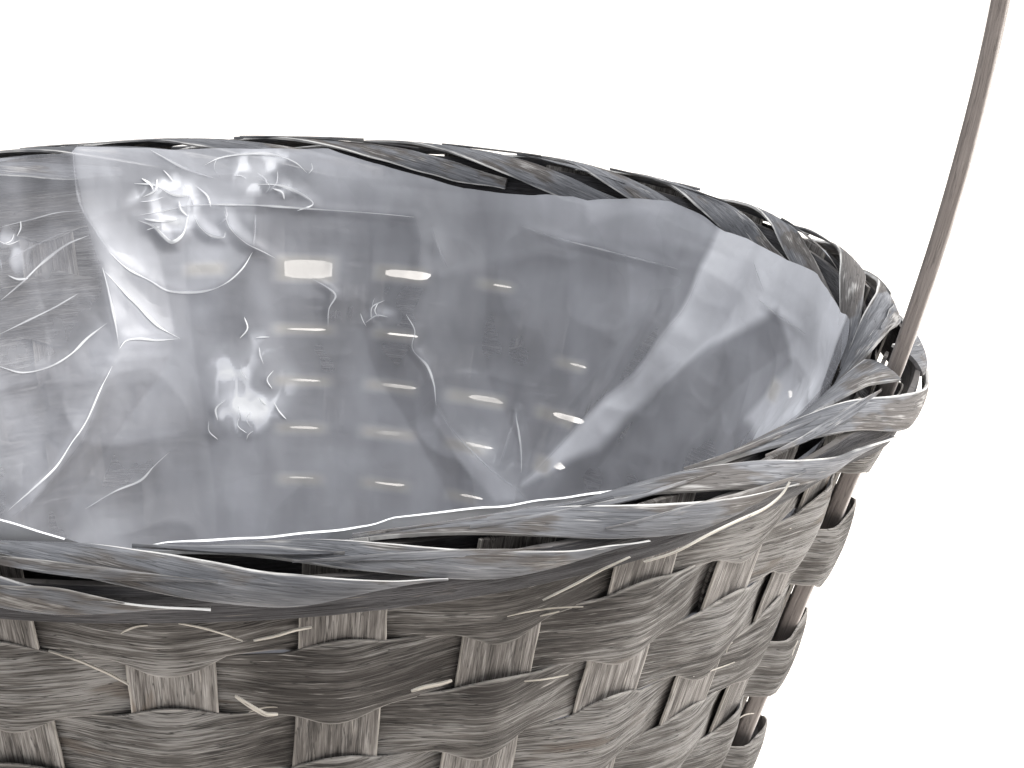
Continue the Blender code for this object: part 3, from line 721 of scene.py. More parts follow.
def make_strays(material):
    """Long pale splinters that stand off the wall below the rim."""
    share = np.linspace(0.0, 1.0, 40)
    shapes = []
    for seed, (places, stands, wide) in enumerate(STRAYS):
        knots = np.linspace(0.0, 1.0, len(stands))
        blurred = [np.clip(share + shift, 0.0, 1.0) for shift in (-0.06, -0.03, 0.0, 0.03, 0.06)]
        degrees, slant, out = (sum(np.interp(at, knots, values) for at in blurred) / 5
                               for values in (places[::2], places[1::2], stands))
        angle = np.radians(degrees)
        centre = wall_point(slant * MM, angle, out * MM)
        across = unit(np.cross(wall_out(angle), unit(np.gradient(centre, axis=0))))
        half = wide * MM * (0.35 + 0.65 * np.sin(math.pi * share) ** 0.5)
        shapes.append(ribbon_shape(centre, across, wall_out(angle), half, half,
                                   np.zeros((len(share), 5)), 0.0004, 60.0 + seed))
    add_piece("stray_splinters", join_shapes(shapes), material, [])


# Film liner

FILM_SEEN_FROM = 12.0
FILM_SEEN_TO = 150.0
FILM_FINE_ANGLES = 620
FILM_PLAIN_ANGLES = 330
FILM_WALL_STEPS = 170
FILM_FLOOR_STEPS = 12
FILM_CLEAR = WEAVE_FACE + 0.0009
FILM_CLEAR_RIM = INNER_SPLINT_OUT + 0.0012
FILM_ARC_RADIUS = WALL_TOP_RADIUS * 0.9
MM_PER_DEGREE = 1.88
CREST_ROUND = 0.0005
FOLD_ROUND = 0.0022
PLEAT_STATIONS = 42
SHORT_PLEAT_STATIONS = 12
SPARE_CREASES = 38

# Creases of the film: places as degrees round the basket and millimetres down from the crown,
# then how far the pleat stands in and how wide its foot is, in millimetres, and how bright the
# painted highlight along it is
CREASES = [
    ((128.5, 0.8, 128.6, 9.3, 128.2, 14.5, 127.1, 18.7, 125.5, 24.2), 0.45, 4, 0.25),
    ((125.5, 24.2, 123.6, 28.1, 120.8, 31.3, 118.7, 33.8, 116.1, 34.5, 113.5, 34.1, 111.3, 32.3,
     109.5, 29.3, 108.3, 25.7), 0.3, 3, 0.85),
    ((108.3, 25.7, 108, 21.7, 107.9, 17.3), 0.9, 3, 0.3),
    ((126.6, 27.6, 126.2, 33.7, 125.9, 40.2, 125.7, 45.9), 0.45, 3, 0.95),
    ((125.7, 45.9, 124.7, 44.3, 122.9, 44.1, 120.4, 44.8, 117.5, 44.8), 0.35, 2.5, 0.9),
    ((126.4, 28.5, 124.7, 32.4, 122.5, 37.1, 120.3, 41.5, 117.5, 44.8), 0.4, 2.5, 0.9),
    ((127, 49.6, 128.9, 54.1, 131.3, 60.4, 133.9, 64.9, 136.8, 69.7, 140.8, 73.6, 144.4, 77.1),
     1.7, 5, 0.9),
    ((129.2, 56, 132.6, 65.5, 138.6, 73.5, 144.6, 79), 1, 2.5, 0.15),
    ((140.6, 46.1, 138, 48.3, 134.7, 48, 131.8, 45.8, 129.5, 42.7, 126.9, 39.9), 1.8, 5, 0.85),
    ((139.9, 39.2, 137, 37.6, 133.7, 35.7, 131.3, 33.9, 129.7, 32.6), 1.2, 4, 0.45),
    ((137.6, 16, 134.2, 15.3, 131.2, 14.5, 128.5, 14.6), 0.8, 2, 0.5),
    ((139.1, 31.9, 136.2, 28.7, 133.2, 24.7, 130.5, 21.7, 127.8, 20.2), 1.4, 4, 0.6),
    ((138, 24, 134, 21, 130, 18.6), 0.9, 3, 0.25),
    ((132.3, 80.7, 128, 77.7, 124.3, 76, 122.2, 73.1, 119.9, 70.2), 1.4, 5, 0.6),
    ((122.2, 16.7, 118.5, 15.9, 115.2, 15, 108.6, 15.2, 101.1, 15.9, 88.7, 16.4), 0.6, 1.5, 0.75),
    ((121.9, 9.5, 119.5, 10.2, 117.6, 12.4, 115.5, 12.9), 1.3, 2.6, 1),
    ((121.7, 17.7, 119.9, 19.4, 118.3, 22.6, 117.5, 22.8, 116.4, 20.9, 115.7, 16.5), 1.3, 2.4, 1),
    ((121, 17.5, 119, 18.2, 117, 18), 1, 1.8, 1),
    ((115.2, 17.2, 114.5, 19.9, 113.3, 21.9, 111.8, 22.4, 111.5, 20.8), 1, 2, 0.85),
    ((111.6, 16.4, 110.9, 20.4, 109.1, 23.7, 107, 25.7, 105.5, 27.2), 1.1, 2.2, 0.8),
    ((107.8, 10.6, 105.3, 10.7, 102.8, 12.3, 101.1, 14.7, 103, 16.4), 1, 2, 0.9),
    ((113.8, 6.2, 111.8, 4.5, 108.5, 3.7, 105.7, 3.9, 103.3, 5.5, 101.9, 7.8), 0.9, 2, 0.8),
    ((119.8, 2.1, 118.9, 3.3, 115.8, 6.9, 112.6, 9.1), 0.8, 2, 0.5),
    ((101.3, 31.6, 99.5, 33.1, 98.1, 35.2, 98.9, 38.3, 99, 42.4), 0.7, 1.6, 0.55),
    ((94.3, 41.1, 92.6, 39.1, 91, 39.2), 0.7, 1.6, 0.5),
    ((88.5, 38.2, 86.9, 41.6, 86.9, 45.6, 84.5, 49.1, 83.3, 52.9, 82.8, 57.6), 1, 2.2, 0.7),
    ((82.8, 57.6, 79.8, 62.5, 76.3, 66.3, 71.9, 70.5, 66.7, 73.8), 1.3, 5, 0.35),
    ((72.3, 55.8, 72.5, 61.1, 72.5, 67.5), 0.9, 1.6, 0.35),
    ((72.3, 55.8, 70.8, 62.1, 69.5, 68.8), 1, 1.6, 0.7),
    ((68.6, 70.7, 63.5, 61.1, 59.7, 53.2, 56.7, 47, 53.2, 41.6, 51.4, 36.3, 49.8, 28.8, 48.4,
     20.8, 47.4, 12.4), 0.8, 4, 0.14),
    ((75.3, 15.4, 69.6, 16.7, 60, 16.9, 52, 16.3), 0.6, 1.5, 0.6),
    ((37.1, 15.1, 31.6, 15.3, 24.6, 14.7), 0.6, 1.5, 0.6),
    ((39.6, 8.4, 36.2, 12.9), 0.6, 2, 0.4),
    ((86.5, 18, 85.5, 22, 84, 27), 0.9, 3, 0.25),
    ((88.6, 17, 87.5, 22, 87.8, 28), 0.8, 2.5, 0.2)]

# Places where the film is crumpled: middle and reach in degrees and millimetres, the number
# of small creases and how bright its painted glints are
CRUMPLES = [
    (117, 14.5, 6.5, 7.5, 9, 0.8), (106.5, 8, 6.5, 6, 8, 0.65), (108.4, 54, 6.6, 11.5, 7, 1),
    (110, 62, 5, 6, 6, 0.7), (137, 20, 3.5, 8, 6, 0.3), (92, 39, 3, 3, 4, 0.2)]

# How much denser and darker the film is made where it lies on a slit of the wall, a painted
# shade that dims the bright floor seen through the slit, and the parts of its upper edge that
# are folded over, in degrees
SLIT_SHADE_VEIL = 0.92
LIPS = [(262.0, 281.0), (286.0, 326.0)]

# Panels where the film lies double, and panels of painted light and shade on the folds (a
# negative amount paints a clearer, darker panel): corners in degrees and millimetres, then
# how milky they are and how softly they end, in millimetres
PANELS = [
    ((128.5, 0, 128.2, 14.5, 125.5, 24.2, 120.8, 31.3, 116.1, 34.5, 111.3, 32.3, 108.3, 25.7,
     107.9, 12, 104, 0), 0.17, 0.7),
    ((121, 12, 118, 22, 115, 29, 110.5, 26, 109.5, 15, 115, 9), 0.12, 4),
    ((126.5, 27.6, 125.7, 45.9, 117.5, 44.8), 0.1, 0.7),
    ((128.5, 0, 150, 0, 150, 47, 138, 48.3, 131.8, 45.8, 126.9, 39.9, 126.6, 27, 128.2, 14.5),
     -0.25, 2),
    ((142, 49, 129.5, 53, 136.8, 69.7, 150, 82, 150, 49), -0.06, 0.9),
    ((121.9, 74, 119.9, 70, 104, 66, 92, 70, 84, 60, 68, 73, 80, 100, 140, 100, 131, 79.5), 0.12,
     2.5),
    ((114, 48, 108, 46, 103, 53, 103.5, 66, 112, 68), 0.12, 4),
    ((103, 0, 88, 0, 40, 0, 41, 8, 66, 16, 84, 28, 88, 28, 89, 16.4, 104, 14.5), 0.12, 1.6),
    ((82.8, 57.6, 79.8, 62.5, 71.9, 70.5, 66.7, 73.8, 72, 76, 78, 70, 83.5, 61), 0.26, 0.8),
    ((47, 5, 49.8, 28.8, 53.2, 41.6, 59.7, 53.2, 68.6, 70.7, 65.1, 67.2, 56.7, 57.9, 49, 39.1,
     44.1, 28.5, 32.6, 14.6, 28, 22, 34, 38, 20, 40, 12, 24, 12, 0, 47, 0), 0.58, 1.6),
    ((49, 39.1, 44.1, 28.5, 32.6, 14.6, 28, 22, 34, 38, 54.7, 61.7), 0.1, 3),
    ((67.4, 7.5, 57.9, 4, 55, 5.5, 60.6, 7.6, 66.2, 12), 0.14, 1.2)]

# Upper edge of the film: degrees and millimetres down from the crown
TOP_EDGE = (
    0, 3.5, 10, 2.4, 15.5, 4.3, 23, 4.1, 26, 3.4, 33.5, 5, 42, 5, 46, 5.5, 52, 3.6, 55.5, 3.1, 62,
    5.2, 67, 7.2, 69, 6.9, 74, 8.3, 79, 8.9, 83, 9, 89, 7, 92, 6, 99.5, 2.4, 108, 2.7, 117, 2.3,
    124, 1.1, 128, 0.5, 128.6, 1.5, 132, 1.4, 137, 1.2, 146, 4.5, 160, 5.5, 230, 5.8, 262, 5, 272,
    1, 276.5, -0.4, 281, 2.4, 284, 4.6, 288, 2.6, 298, 2, 302.4, 1.7, 303.8, 0.9, 309, 1.3, 316,
    2.3, 323, 3.8, 332, 5.6, 345, 5, 360, 3.5)


def crease_places(line):
    """A crease's places as metres round the wall and down it."""
    return line * np.array([math.radians(1.0) * FILM_ARC_RADIUS, MM])


def to_parts(arc, slant, places):
    """The straight parts of a line on the film, and for each how far along it the places on
    the film are, as a share, and how far from it."""
    for start, end in zip(places, places[1:]):
        run = end - start
        share = ((arc - start[0]) * run[0] + (slant - start[1]) * run[1]) / np.dot(run, run)
        share = np.clip(share, 0.0, 1.0)
        distance = np.hypot(arc - start[0] - share * run[0], slant - start[1] - share * run[1])
        yield start, end, share, distance


def to_crease(arc, slant, line):
    """Distance of places on the film from a crease, and the share of its length there."""
    best = np.full(arc.shape, 1.0)
    way = np.zeros(arc.shape)
    done = 0.0
    for start, end, share, distance in to_parts(arc, slant, crease_places(line)):
        length = math.hypot(*(end - start))
        way = np.where(distance < best, done + share * length, way)
        best = np.minimum(best, distance)
        done += length
    return best, way / done


def panel_cover(arc, slant, line, softness):
    """Share from 0 to 1 of how far places on the film are inside a panel."""
    places = crease_places(line)
    inside = np.zeros(arc.shape, bool)
    nearest = np.full(arc.shape, 1.0)
    for start, end, _, distance in to_parts(arc, slant, np.concatenate([places, places[:1]])):
        nearest = np.minimum(nearest, distance)
        crosses = (start[1] > slant) != (end[1] > slant)
        fall = end[1] - start[1]
        at = start[0] + (slant - start[1]) * (end[0] - start[0]) / (fall if fall else 1.0)
        inside ^= crosses & (arc < at)
    signed = np.where(inside, nearest, -nearest)
    return eased(0.5 + signed / (2 * softness * MM))


def small_creases():
    """The short creases of the crumpled places."""
    found = []
    for place, (degrees, depth, wide, high, count, _) in enumerate(CRUMPLES):
        for number in range(count):
            turn, reach, way, size, bow, highlight_share, height = (
                float(hashed(300 + place, number, step)) for step in range(1, 8))
            reach = abs(reach) ** 0.7
            half = 1.2 + 1.6 * abs(size)
            x = math.cos(math.pi * way) * half / MM_PER_DEGREE
            y = math.sin(math.pi * way) * half
            line = np.array([(-x, -y), (y / MM_PER_DEGREE * 0.7 * bow, -x * 0.7 * bow), (x, y)])
            line = line + (degrees + wide * reach * math.cos(math.pi * turn),
                           depth + high * reach * math.sin(math.pi * turn))
            line[:, 1] = np.maximum(line[:, 1], 2.0)
            found.append((line, 0.24 + 0.1 * height, 1.7, 0.45 + 0.55 * abs(highlight_share)))
    return found


def spare_creases():
    """Creases on the side that the photograph doesn't show, laid out by rule."""
    found = []
    for number in range(SPARE_CREASES):
        shift, top, long, lean, bow, height, highlight_share = draws(range(61, 68), number)
        degrees = 152.0 + 216.0 * (number + 0.4 * shift) / SPARE_CREASES
        top = 16.0 + 10.0 * top
        bottom = top + 38.0 + 22.0 * long
        lean = 12.0 * lean
        line = (degrees, top, degrees + lean / 2 + 4.0 * bow, (top + bottom) / 2,
                degrees + lean, bottom)
        found.append((line, 1.2 + 0.5 * height, 4.0, 0.4 + 0.35 * highlight_share))
    return found


def film_folds():
    """Every main fold: its crest's share of a turn at each level, and its share of the height."""
    first, last = LINER_FOLD_SHARES[0][0], LINER_FOLD_SHARES[-1][0]
    spare = []
    for number in range(1, LINER_SPARE_FOLDS + 1):
        share = number / (LINER_SPARE_FOLDS + 1)
        spare.append(([late + (early + 1.0 - late) * share for early, late in zip(first, last)],
                      LINER_SPARE_FOLD_SHARE))
    return [*LINER_FOLD_SHARES, *spare]


def fold_relief(angle, slant, wall_end):
    """How far the main folds stand in from the wall."""
    level = (slant - LINER_TOP_TURN_SLANT) / (wall_end - LINER_TOP_TURN_SLANT)
    tallest = np.zeros(angle.shape)
    for crest, height in film_folds():
        turn = sum(np.interp(level + shift, LINER_LEVEL_SHARES, crest) / 3
                   for shift in (-0.05, 0.0, 0.05))
        distance = np.abs(turned_angle(angle - turn * math.tau)) * wall_radius(slant)
        distance = np.sqrt(distance ** 2 + FOLD_ROUND ** 2) - FOLD_ROUND
        tent = np.clip(1.0 - distance / LINER_FOLD_HALF_WIDTH, 0.0, 1.0)
        tallest = np.maximum(tallest, height * tent)
    return LINER_FOLD_HEIGHT * np.interp(level, LINER_LEVEL_SHARES, LINER_RISE_SHARES) * tallest


def crease_relief(angle, slant, creases):
    """How far the creases stand in from the folds."""
    arc = (angle % math.tau) * FILM_ARC_RADIUS
    relief = np.zeros(arc.shape)
    for line, height, foot, _ in creases:
        foot = foot * MM
        places = crease_places(line)
        low, high = places.min(axis=0) - foot, places.max(axis=0) + foot
        near = (arc > low[0]) & (arc < high[0]) & (slant > low[1]) & (slant < high[1])
        if near.any():
            distance, share = to_crease(arc[near], slant[near], line)
            distance = np.sqrt(distance ** 2 + CREST_ROUND ** 2) - CREST_ROUND
            fade = np.sin(math.pi * np.clip(share, 0.03, 0.97)) ** 0.5
            close = np.clip(1.0 - distance / foot, 0.0, 1.0)
            relief[near] += height * MM * fade * close ** 1.5
    return relief


def film_top(angle):
    """Slant of the film's upper edge round the basket."""
    degrees = np.degrees(angle) % 360.0
    edge = np.interp(degrees, TOP_EDGE[::2], TOP_EDGE[1::2]) * MM
    return edge + 0.2 * MM * wander(71, degrees, 2.5)


def film_levels():
    """The film's floor height, the radius where its floor ends and the length of its wall."""
    floor_z = 2 * STAKE_THICKNESS + 2 * FIT_GAP + 0.0012
    wall = wall_point(0.0, 0.0, -FILM_CLEAR)
    edge_radius = wall[0] - (wall[2] - floor_z) * math.tan(WALL_TAPER)
    turn_in = edge_radius - LINER_CORNER * math.tan(BASE_BEND / 2)
    corner_rise = LINER_CORNER * (1 - math.cos(BASE_BEND))
    return floor_z, turn_in, (RIM_TOP_Z - floor_z - corner_rise) / math.cos(WALL_TAPER)


def film_out(angle, slant, creases):
    """How far out from the stakes' middle surface the film lies, which is less than nothing."""
    wall_end = film_levels()[2]
    flat = wall_point(slant, angle, -FILM_CLEAR)
    crumple, fine = (1.0 - np.abs(noise_field(seed, flat, spacing))
                     for seed, spacing in ((22, 0.016), (23, 0.0065)))
    patch = eased((noise_field(24, flat, 0.04) + 0.15) / 0.5)
    relief = 0.9 * MM * crumple ** 2 + 0.28 * MM * fine ** 2 * (0.35 + 0.65 * patch)
    relief = relief + crease_relief(angle, slant, creases)
    near_rim = eased((0.0260 - slant) / 0.0180)
    relief = relief * (1.0 - 0.7 * near_rim)
    relief = relief * (1.0 - 0.8 * eased((slant - wall_end + 0.02) / 0.02))
    relief = relief + fold_relief(angle, slant, wall_end)
    return -(FILM_CLEAR + relief + near_rim * (FILM_CLEAR_RIM - FILM_CLEAR))


def film_milk_and_painted_light(angle, slant):
    """How milky the film is where it lies double, plus painted light and shade on the folds'
    panels, painted glints on the crumpled places and a whitening of the folded lips that is partly
    double film and partly painted highlight.
    """
    arc = (angle % math.tau) * FILM_ARC_RADIUS
    flat = wall_point(slant, angle)
    mottle = 0.8 + 0.35 * noise_field(31, flat, 0.012)
    milk_and_painted_light = np.zeros(arc.shape)
    for line, amount, softness in PANELS:
        line = np.reshape(line, (-1, 2))
        milk_and_painted_light = milk_and_painted_light + amount * mottle * panel_cover(arc, slant, line, softness)
    degrees = np.degrees(angle) % 360.0
    # Painted glints on the crumpled places: clouds, lines and sparks of white
    for middle, depth, wide, high, _, glint in CRUMPLES:
        away = np.hypot((degrees - middle) / wide, (slant / MM - depth) / high)
        near = away < 1.0
        cloud = eased((noise_field(35, flat[near], 0.0075) + 0.4) / 0.6)
        lines = np.clip(1.0 - np.abs(noise_field(36, flat[near], 0.0048)) / 0.15, 0.0, 1.0)
        sparks = eased((noise_field(37, flat[near], 0.0030) - 0.05) / 0.35)
        glints = cloud * (0.30 + 0.75 * lines + 0.95 * sparks)
        milk_and_painted_light[near] += glint * glints * eased(1.8 - 1.8 * away[near])
    # The folded lips at the upper edge turn white: the film lies double there, and the rest is
    # painted highlight
    folded = sum(eased((half - np.abs(degrees - middle)) / soft)
                 for middle, half, soft in ((277.0, 7.5, 1.5), (311.0, 12.5, 2.0)))
    return milk_and_painted_light + 0.9 * folded * eased((0.010 - slant) / 0.002)


def slit_shade_cover(angle, slant):
    """Where the film lies on the slits of the wall, the places of its painted shade."""
    cover = np.zeros(angle.shape)
    for row, place, opening, half_length in SLITS:
        middle = (place + 0.5) * STAKE_STEP
        level = FIRST_ROW_SLANT + row * ROW_PITCH + row_drop(row, middle)
        wide = np.abs(turned_angle(angle - middle)) * wall_radius(level)
        near = eased(((min(half_length, 6.2) + 3.0) * MM - wide) / 0.0042)
        near = near * eased((opening * MM / 2 + 0.0020 - np.abs(slant - level)) / 0.0020)
        cover = np.maximum(cover, near)
    return cover


def lip_points(first, last, creases):
    """The film's upper edge where it is folded over towards the rim, and its painted highlight."""
    angle = np.radians(np.linspace(first, last, 90))
    slant = film_top(angle)
    reach = (0.55 + 0.15 * wander(91, np.degrees(angle), 3.0)) * MM
    up = 0.12 * MM * np.array([0.0, 1.0, 1.2])
    out = film_out(angle, slant, creases)[:, None] + reach[:, None] * np.array([0.0, 0.5, 1.0])
    points = wall_point(slant[:, None] - up, angle[:, None], out)
    return points, np.broadcast_to([0.8, 1.0, 1.0], points.shape[:2])


def pleat_points(line, width, highlight_share, creases, seed, stations):
    """A pinched pleat of the film along a crease, as a narrow open strip, and the painted
    highlight along it.
    """
    knots = np.concatenate([[2 * line[0] - line[1]], line, [2 * line[-1] - line[-2]]])
    share = np.linspace(0.0, len(line) - 1 - 1e-6, stations)
    cell = share.astype(int)
    part = (share - cell)[:, None]
    a, b, c, d = (knots[cell + step] for step in range(4))
    curve = 0.5 * (2 * b + (c - a) * part + (2 * a - 5 * b + 4 * c - d) * part ** 2
                   + (3 * b - a - 3 * c + d) * part ** 3)
    places = crease_places(curve)
    run = unit(np.gradient(places, axis=0))
    along = way_along(places)
    ends = np.sin(math.pi * np.clip(along / along[-1], 0.004, 0.996)) ** 0.6
    half = width / 2 * ends * (0.75 + 0.35 * wander(seed, along, 0.0035))
    # Painted highlight along the pleat, strongest in its middle columns
    painted_highlight = highlight_share * (1.05 + 0.4 * wander(seed + 7, along, 0.0055))
    across = np.array([-1.0, -0.35, 0.35, 1.0]) * half[:, None]
    angle = (places[:, :1] - run[:, 1:] * across) / FILM_ARC_RADIUS
    slant = places[:, 1:] + run[:, :1] * across
    lift = 0.18 * MM + 0.6 * (across + half[:, None]) / 2
    points = wall_point(slant, angle, film_out(angle, slant, creases) - lift)
    return points, painted_highlight[:, None] * [0.25, 1.0, 1.0, 0.25]


def make_pleats(creases, material):
    """The crisp pleats of the film, with a painted highlight along each and along the folded lips.
    """
    strips = []
    for number, (line, height, foot, highlight_share) in enumerate(creases):
        long = len(line) > 3 or height > 0.95
        width = (0.55 if long else 0.24) + 0.45 * highlight_share + 0.15 * float(hashed(81, number))
        strips.append(pleat_points(line, width * MM, highlight_share, creases, 400 + number,
                                   PLEAT_STATIONS if long else SHORT_PLEAT_STATIONS))
    strips += [lip_points(first, last, creases) for first, last in LIPS]
    shape = join_shapes([(points.reshape(-1, 3), grid_faces(*painted_highlight.shape),
                          stacked(painted_highlight, 0.0, 0.0).reshape(-1, 3), painted_highlight.ravel())
                         for points, painted_highlight in strips])
    return add_piece("film_pleats", shape, material, [], 180.0)


def make_film(material):
    """The clear film pushed into the basket, with its folds and its crumpled places."""
    creases = [(np.reshape(line, (-1, 2)), *rest)
               for line, *rest in CREASES + small_creases() + spare_creases()]
    angle = np.radians(np.concatenate([
        np.linspace(FILM_SEEN_FROM, FILM_SEEN_TO, FILM_FINE_ANGLES, endpoint=False),
        np.linspace(FILM_SEEN_TO, 360.0 + FILM_SEEN_FROM, FILM_PLAIN_ANGLES, endpoint=False)]))
    top = film_top(angle)
    floor_z, turn_in, wall_end = film_levels()
    share = np.linspace(0.0, 1.0, FILM_WALL_STEPS)[:, None] ** 1.15
    slant = top + (wall_end - top) * share
    wide = np.broadcast_to(angle, slant.shape)
    rings = [(turn_in + LINER_CORNER * math.sin(turn),
              floor_z + LINER_CORNER * (1 - math.cos(turn)))
             for turn in BASE_BEND * (1.0 - np.linspace(0.0, 1.0, 8)[1:])]
    rings += [(rings[-1][0] * part, floor_z)
              for part in np.linspace(1.0, 0.02, FILM_FLOOR_STEPS)[1:]]
    levels = [*wall_point(slant, wide, film_out(wide, slant, creases))]
    for ring_radius, height in rings:
        ring = radial(angle) * ring_radius + UPRIGHT * height
        wave = 0.9 * MM * (1.0 - np.abs(noise_field(25, ring, 0.018))) ** 2
        levels.append(ring + wave[:, None] * UPRIGHT)
    points = np.array(levels)
    milk_and_painted_light, film_shade_density = np.zeros(points.shape[:2]), np.ones(points.shape[:2])
    milk_and_painted_light[:len(slant)] = film_milk_and_painted_light(wide, slant)
    # Painted shade: the film is made denser over the slits of the wall
    film_shade_density[:len(slant)] += SLIT_SHADE_VEIL * slit_shade_cover(wide, slant)
    faces = tube_faces(*milk_and_painted_light.shape, (-1,))
    faces[-(len(angle) // 2 - 1):] = faces[-(len(angle) // 2 - 1):, ::-1]
    faces = faces[:, [0, 3, 2, 1]]
    grain = stacked(0.0, milk_and_painted_light, film_shade_density).reshape(-1, 3)
    piece = add_piece("film_sheet", (points.reshape(-1, 3), faces, grain, grain[:, 0]), material,
                      ["film_liner"], 180.0)
    pleats = make_pleats(creases, material)
    reach = turn_in + LINER_CORNER * BASE_BEND + wall_end
    2 * reach
    2 * reach
    math.pi * reach ** 2


# Materials

class Value:
    """An output of a material's node; sums and products of values become maths nodes."""

    def __init__(self, node, output=0):
        self.socket = node.outputs[output]

    def to(self, kind, settings, inputs, output=0):
        """The output of a new node in the same material."""
        return Value(add_node(self.socket.id_data, kind, settings, inputs), output)

    def maths(self, operation, other=0.0, clamp=False):
        """The output of a maths node."""
        return self.to("ShaderNodeMath", {"operation": operation, "use_clamp": clamp},
                       {0: self, 1: other})

    def __add__(self, other):
        return self.maths("ADD", other)

    def __sub__(self, other):
        return self.maths("SUBTRACT", other)

    def __mul__(self, other):
        return self.maths("MULTIPLY", other)

    def __abs__(self):
        return self.maths("ABSOLUTE")

    def ranged(self, low, high, to_low=0.0, to_high=1.0):
        """The value moved from one range to another and held inside it."""
        return self.to("ShaderNodeMapRange", {}, {"Value": self, "From Min": low, "From Max": high,
                                                  "To Min": to_low, "To Max": to_high})

    def noise(self, stretch, detail, roughness, offset=0.0):
        """Noise whose cells are long and narrow, by a stretch along, across and between pieces."""
        moved = self.to("ShaderNodeVectorMath", {"operation": "MULTIPLY_ADD"},
                        {0: self, 1: stretch, 2: (offset,) * 3})
        return self.to("ShaderNodeTexNoise", {"noise_dimensions": "3D"},
                       {"Vector": moved, "Scale": 1.0, "Detail": detail, "Roughness": roughness})

    def mixed(self, first, second):
        """Colour between two colours, with the value as the share of the second."""
        first, second = ((*colour, 1.0) if isinstance(colour, tuple) else colour
                         for colour in (first, second))
        return self.to("ShaderNodeMix", {"data_type": "RGBA", "blend_type": "MIX"},
                       {0: self, 6: first, 7: second}, 2)

    def bumped(self, strength, distance):
        """Normal of a surface with the value as its height."""
        return self.to("ShaderNodeBump", {}, {"Strength": strength, "Distance": distance,
                                              "Height": self})


def feed(node, inputs):
    """Give a node its inputs, which are numbers, colours or values of other nodes."""
    for key, value in inputs.items():
        if isinstance(value, Value):
            node.id_data.links.new(value.socket, node.inputs[key])
        else:
            node.inputs[key].default_value = value


def add_node(tree, kind, settings, inputs):
    """A shader node with its settings and its inputs."""
    node = tree.nodes.new(kind)
    for key, value in settings.items():
        setattr(node, key, value)
    feed(node, inputs)
    return node


def ramp(value, stops):
    """Colour from a ramp of places and colours."""
    node = add_node(value.socket.id_data, "ShaderNodeValToRGB", {}, {"Fac": value})
    elements = node.color_ramp.elements
    while len(elements) < len(stops):
        elements.new(0.5)
    for element, (place, colour) in zip(elements, stops):
        element.position = place
        element.color = (*colour, 1.0)
    return Value(node)


def stored_value(tree, name, output):
    """A value that is stored at the points of the mesh."""
    return Value(add_node(tree, "ShaderNodeAttribute", {"attribute_name": name}, {}), output)


def new_material(name):
    """A material, its Principled shader, its grain and its place in space."""
    material = bpy.data.materials.new(name)
    material.use_nodes = True
    tree = material.node_tree
    grain = stored_value(tree, "grain", "Vector")
    place = Value(add_node(tree, "ShaderNodeTexCoord", {}, {}), "Object")
    return material, tree.nodes["Principled BSDF"], grain, place


def make_wood(name, dark, middle, light, brown, brown_from, edge_colour, edge_share, bump_depth,
              spread=0.16, pale_share=0.7, cloudy=0.07, crack_share=0.62, scuffs=0.0):
    """Split wood under a thin grey wash: fibres, cracks, worn brown places and pale cut edges."""
    material, shader, grain, place = new_material(name)
    edge = stored_value(material.node_tree, "edge", "Fac")
    fibres = grain.noise((190.0, 4300.0, 1.0), 3.0, 0.6)
    bands = grain.noise((48.0, 900.0, 1.0), 3.0, 0.62, 11.3)
    lines = grain.noise((60.0, 1500.0, 1.0), 2.0, 0.5, 23.9)
    pale = grain.noise((130.0, 2900.0, 1.0), 2.0, 0.55, 37.1)
    clouds = place.noise((34.0, 34.0, 34.0), 3.0, 0.55)
    worn = grain.noise((55.0, 260.0, 1.0), 3.0, 0.6, 51.7)
    streaks = fibres * 0.5 + bands * 0.5 + clouds.ranged(0.3, 0.7, -cloudy, cloudy)
    bare = (clouds * 0.5 + worn * 0.5).ranged(brown_from, brown_from + 0.05)
    crack = abs(lines - 0.5).ranged(0.004, 0.016, 1.0, 0.0)
    lit = pale.ranged(0.66, 0.76)
    scuffed = (worn * 0.7 + fibres * 0.3).ranged(0.575, 0.66)
    colour = ramp(streaks, [(0.5 - spread, dark), (0.5, middle), (0.5 + spread, light)])
    colour = (bare * 0.75).mixed(colour, brown)
    colour = (crack * crack_share).mixed(colour, tuple(part * 0.3 for part in dark))
    for share in (lit * pale_share, scuffed * scuffs,
                  edge * worn.ranged(0.38, 0.52, 0.15, edge_share)):
        colour = share.mixed(colour, edge_colour)
    height = fibres * 0.55 + bands * 0.9 - crack * 0.35 + lit * 0.2
    feed(shader, {"Base Color": colour, "Roughness": streaks.ranged(0.3, 0.7, 0.88, 0.62),
                  "Normal": height.bumped(0.85, bump_depth), "Metallic": 0.0,
                  "Specular IOR Level": 0.4})
    return material


